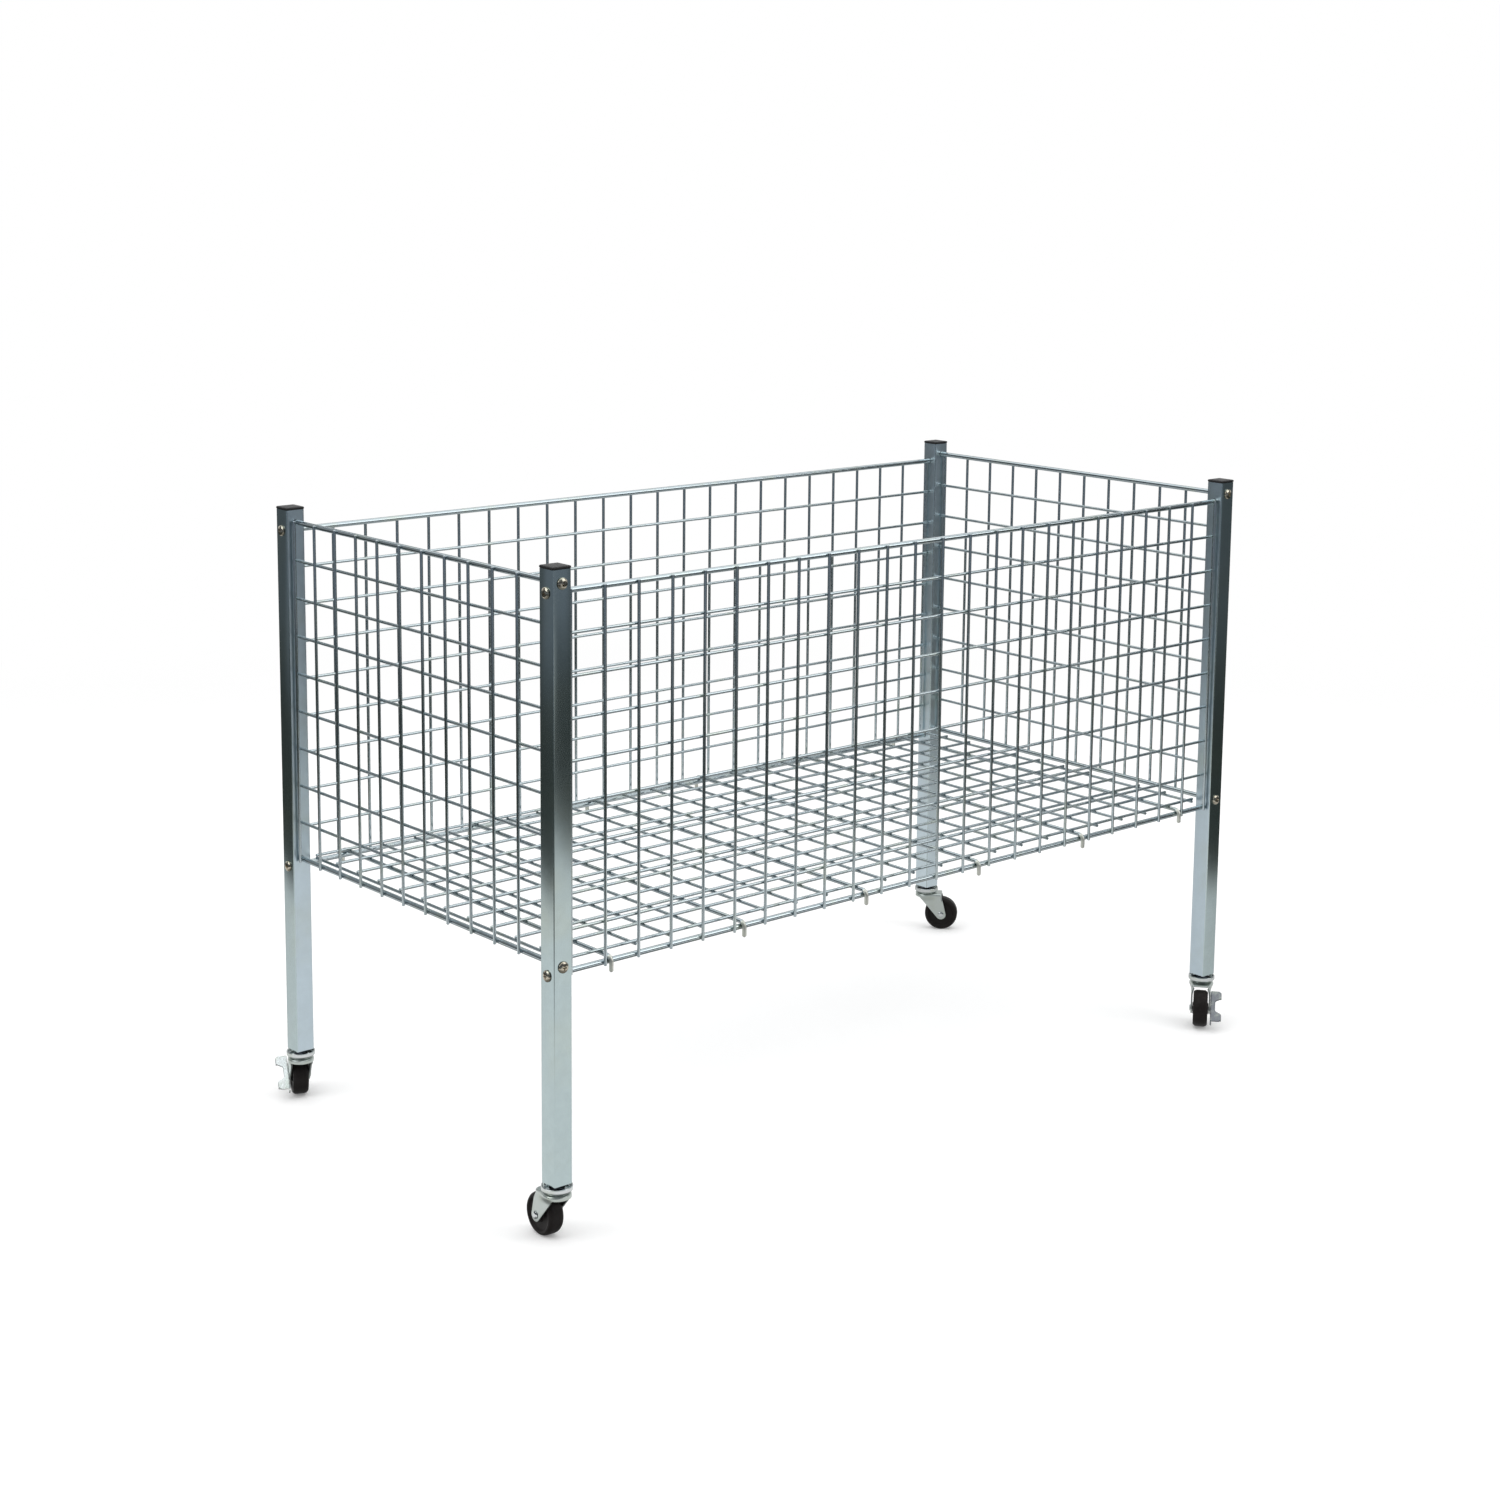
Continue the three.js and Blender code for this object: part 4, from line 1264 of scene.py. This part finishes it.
# Painted shadow of the bin on the mirrored sweep: darker away from the camera, and deeper to the right
SWEEP_PAINTED_SHADOW = (("nearer", (0.75, -0.9), RISE), ("across", (0.0, 1.0), (0.36, 0.52)))
CARD = (
    ("across", (1.5, 1.9), RISE),
    ("across", (2.7, 3.3), FALL),
    ("nearer", (1.6, 1.9), (0.0, 0.8)),
    ("nearer", (2.6, 3.1), FALL),
)
LEFT_HAZE = (("across", (-2.7, -4.2), (0.0, 0.8)), ("nearer", (-0.8, -0.25), (0.38, 1.0)))
RIGHT_HAZE = (("across", (2.6, 4.0), RISE), ("nearer", (0.4, 1.4), (0.25, 1.0)))
FRONT_HAZE = (("nearer", (2.9, 3.8), RISE),)
STUDIO_DARK = (0.047, 0.054, 0.05, 1)
STUDIO_HAZE = (0.22, 0.245, 0.285, 1)
# The floor gives less light straight up, to the wires' undersides, than along itself to the posts
STEEP = (0.6, 0.35)
STEEP_DEPTH = (-0.25, 0.3)
STEEP_LEVELS = (0.8, 0.22)

PAPER_TINTS = ((0.88, 0.88, 0.88, 1), (0.9, 0.9, 0.9, 1))
PAPER_LIFT = 0.17
WHITE_OUT = (1.6, 3.2)
WALL_TURN = (0.05, 0.75)
WALL_BEHIND_CAMERA = (0.08, 0.088, 0.1, 1)
CEILING_RISE = (0.15, 0.55)
CEILING = (0.25, 0.268, 0.282, 1)
AMBIENT = 0.5


def camera_axes():
    """Directions to the right of the camera, up from it and behind it."""
    azimuth, elevation, roll = (math.radians(v) for v in CAMERA_TURN)
    level_part = math.cos(elevation)
    back = Vector((math.sin(azimuth) * level_part, -math.cos(azimuth) * level_part, math.sin(elevation)))
    right = UP.cross(back).normalized()
    up = back.cross(right)
    turned = right * math.cos(roll) + up * math.sin(roll)
    return turned, back.cross(turned), back


def mirrored_floor(n, place):
    """Colour of the floor as the zinc mirrors it: a white sweep with a painted shadow of the bin on it, and a
    white card, in a hazy dark studio.
    """
    right, _, back = camera_axes()
    nearer = n.dot(place, (back.x, back.y, 0))
    places = {"across": n.dot(place, (right.x, right.y, 0)), "nearer": nearer}

    def area(edges):
        return n.times(*(n.ramp(places[way], band, levels) for way, band, levels in edges))

    # The sweep, dimmed by the painted shadow of the bin
    sweep = n.times(area(SWEEP), n.math("SUBTRACT", SWEEP_LEVEL, area(SWEEP_PAINTED_SHADOW)))
    haze = n.math("MAXIMUM", n.math("MAXIMUM", area(LEFT_HAZE), area(RIGHT_HAZE)), area(FRONT_HAZE))
    studio = n.mix(haze, STUDIO_DARK, STUDIO_HAZE)
    grazing = n.add("LayerWeight").outputs["Facing"]
    upwards = n.ramp(grazing, STEEP, (1.0, n.ramp(nearer, STEEP_DEPTH, STEEP_LEVELS)))
    bright = n.times(n.math("MAXIMUM", sweep, area(CARD)), upwards)
    return n.mix(bright, studio, WHITE)


def make_floor():
    """Pale floor that fades to white. The zinc mirrors it as a dark studio's floor."""
    bm = bmesh.new()
    bmesh.ops.create_grid(bm, x_segments=8, y_segments=8, size=30)
    floor = linked("pale_floor", bare_mesh("pale_floor", bm))
    material = bpy.data.materials.new("pale_floor")
    material.use_nodes = True
    material.node_tree.nodes.clear()
    n = Nodes(material.node_tree)
    place = n.add("TexCoord").outputs["Object"]
    rays = n.add("LightPath").outputs
    grain = n.noise(place, scale=3.0, detail=2.0)
    lit = n.shader("BsdfDiffuse", n.mix(n.ramp(grain, band=(0.3, 0.7)), *PAPER_TINTS))
    lift = n.shader("Emission", WHITE, Strength=PAPER_LIFT)
    near = n.add("AddShader", {0: lit, 1: lift}).outputs[0]
    far = n.add("VectorMath", {0: place}, operation="LENGTH").outputs["Value"]
    seen = n.either(n.ramp(far, WHITE_OUT), near, n.shader("Emission", WHITE, Strength=1.0))
    plain = n.either(rays["Is Camera Ray"], lit, seen)
    gloss = n.shader("Emission", mirrored_floor(n, place), Strength=1.0)
    n.add("OutputMaterial", {"Surface": n.either(rays["Is Glossy Ray"], plain, gloss)})
    floor.data.materials.append(material)


def make_world(scene):
    """White surroundings, which the zinc mirrors as a studio's walls and ceiling."""
    world = bpy.data.worlds.new("studio")
    scene.world = world
    world.use_nodes = True
    world.node_tree.nodes.clear()
    n = Nodes(world.node_tree)
    _, _, back = camera_axes()
    heading = n.add("TexCoord").outputs["Generated"]
    upwards = n.add("SeparateXYZ", {0: heading}).outputs["Z"]
    ahead = n.dot(heading, Vector((-back.x, -back.y, 0)).normalized())
    wall = n.mix(n.ramp(ahead, WALL_TURN), WALL_BEHIND_CAMERA, WHITE)
    mirrored = n.mix(n.ramp(upwards, CEILING_RISE), wall, CEILING)
    rays = n.add("LightPath").outputs
    ambient = n.shader("Background", WHITE, Strength=AMBIENT)
    white = n.shader("Background", WHITE, Strength=1.0)
    gloss = n.shader("Background", mirrored, Strength=1.0)
    direct = n.math("MAXIMUM", rays["Is Camera Ray"], rays["Is Transmission Ray"])
    seen = n.either(direct, ambient, white)
    n.add("OutputWorld", {"Surface": n.either(rays["Is Glossy Ray"], seen, gloss)})


def make_lamps():
    """Soft boxes above the bin and on both sides."""
    for name, place, size, power in (
        ("overhead_softbox", (0.2, 0.3, 3.4), (6.0, 5.0), 98),
        ("left_softbox", (-3.4, 0.6, 2.6), (2.4, 2.4), 40),
        ("right_softbox", (2.1, -3.1, 2.4), (2.4, 2.4), 36),
    ):
        lamp = bpy.data.lights.new(name, "AREA")
        lamp.shape = "RECTANGLE"
        lamp.size, lamp.size_y = size
        lamp.energy = power
        made = linked(name, lamp)
        made.location = place
        aim = LAMP_AIM - Vector(place)
        made.rotation_euler = aim.to_track_quat("-Z", "Y").to_euler()


def make_camera(scene):
    """Camera that was fitted to the photo."""
    data = bpy.data.cameras.new("camera")
    data.sensor_width = SENSOR_WIDTH
    data.lens = FOCAL_PIXELS / FRAME_PIXELS * SENSOR_WIDTH
    data.shift_y = (AXIS_ROW - FRAME_PIXELS / 2) / FRAME_PIXELS
    data.clip_start, data.clip_end = 0.05, 100
    turn = Matrix(camera_axes()).transposed().to_4x4()
    scene.camera = linked("camera", data)
    scene.camera.matrix_world = Matrix.Translation(CAMERA_PLACE) @ turn


class DUMPBIN_OT_stage(Operator):
    """Pale floor, soft studio light and the camera"""

    bl_idname = "dumpbin.stage"
    bl_label = "Stage"

    def execute(self, context):
        scene = context.scene
        scene.view_settings.view_transform = "Standard"
        make_floor()
        make_world(scene)
        make_lamps()
        make_camera(scene)
        return {"FINISHED"}


# Panel and registration


STEPS = (
    DUMPBIN_OT_posts,
    DUMPBIN_OT_caps,
    DUMPBIN_OT_screws,
    DUMPBIN_OT_panels,
    DUMPBIN_OT_shelf,
    DUMPBIN_OT_inserts,
    DUMPBIN_OT_stems,
    DUMPBIN_OT_forks,
    DUMPBIN_OT_wheels,
    DUMPBIN_OT_pedals,
    DUMPBIN_OT_stage,
)


class DUMPBIN_PT_sidebar(Panel):
    """Lists the bin's pieces, sizes and colours"""

    bl_idname = "DUMPBIN_PT_sidebar"
    bl_label = "Dump Bin"
    bl_space_type = "VIEW_3D"
    bl_region_type = "UI"
    bl_category = "Dump Bin"

    def draw(self, context):
        layout = self.layout
        for step in STEPS:
            layout.operator(step.bl_idname)
        for group in (sizes(), colours()):
            box = layout.box()
            for key in group.__annotations__:
                box.prop(group, key)


CLASSES = (BinSizes, BinColours, *STEPS, DUMPBIN_PT_sidebar)


def register():
    for cls in CLASSES:
        bpy.utils.register_class(cls)
    bpy.types.Scene.dump_bin_sizes = PointerProperty(type=BinSizes)
    bpy.types.Scene.dump_bin_colours = PointerProperty(type=BinColours)


def unregister():
    del bpy.types.Scene.dump_bin_colours
    del bpy.types.Scene.dump_bin_sizes
    for cls in reversed(CLASSES):
        bpy.utils.unregister_class(cls)


def main():
    register()
    for step in STEPS:
        group, name = step.bl_idname.split(".")
        getattr(getattr(bpy.ops, group), name)()


if __name__ == "__main__":
    main()
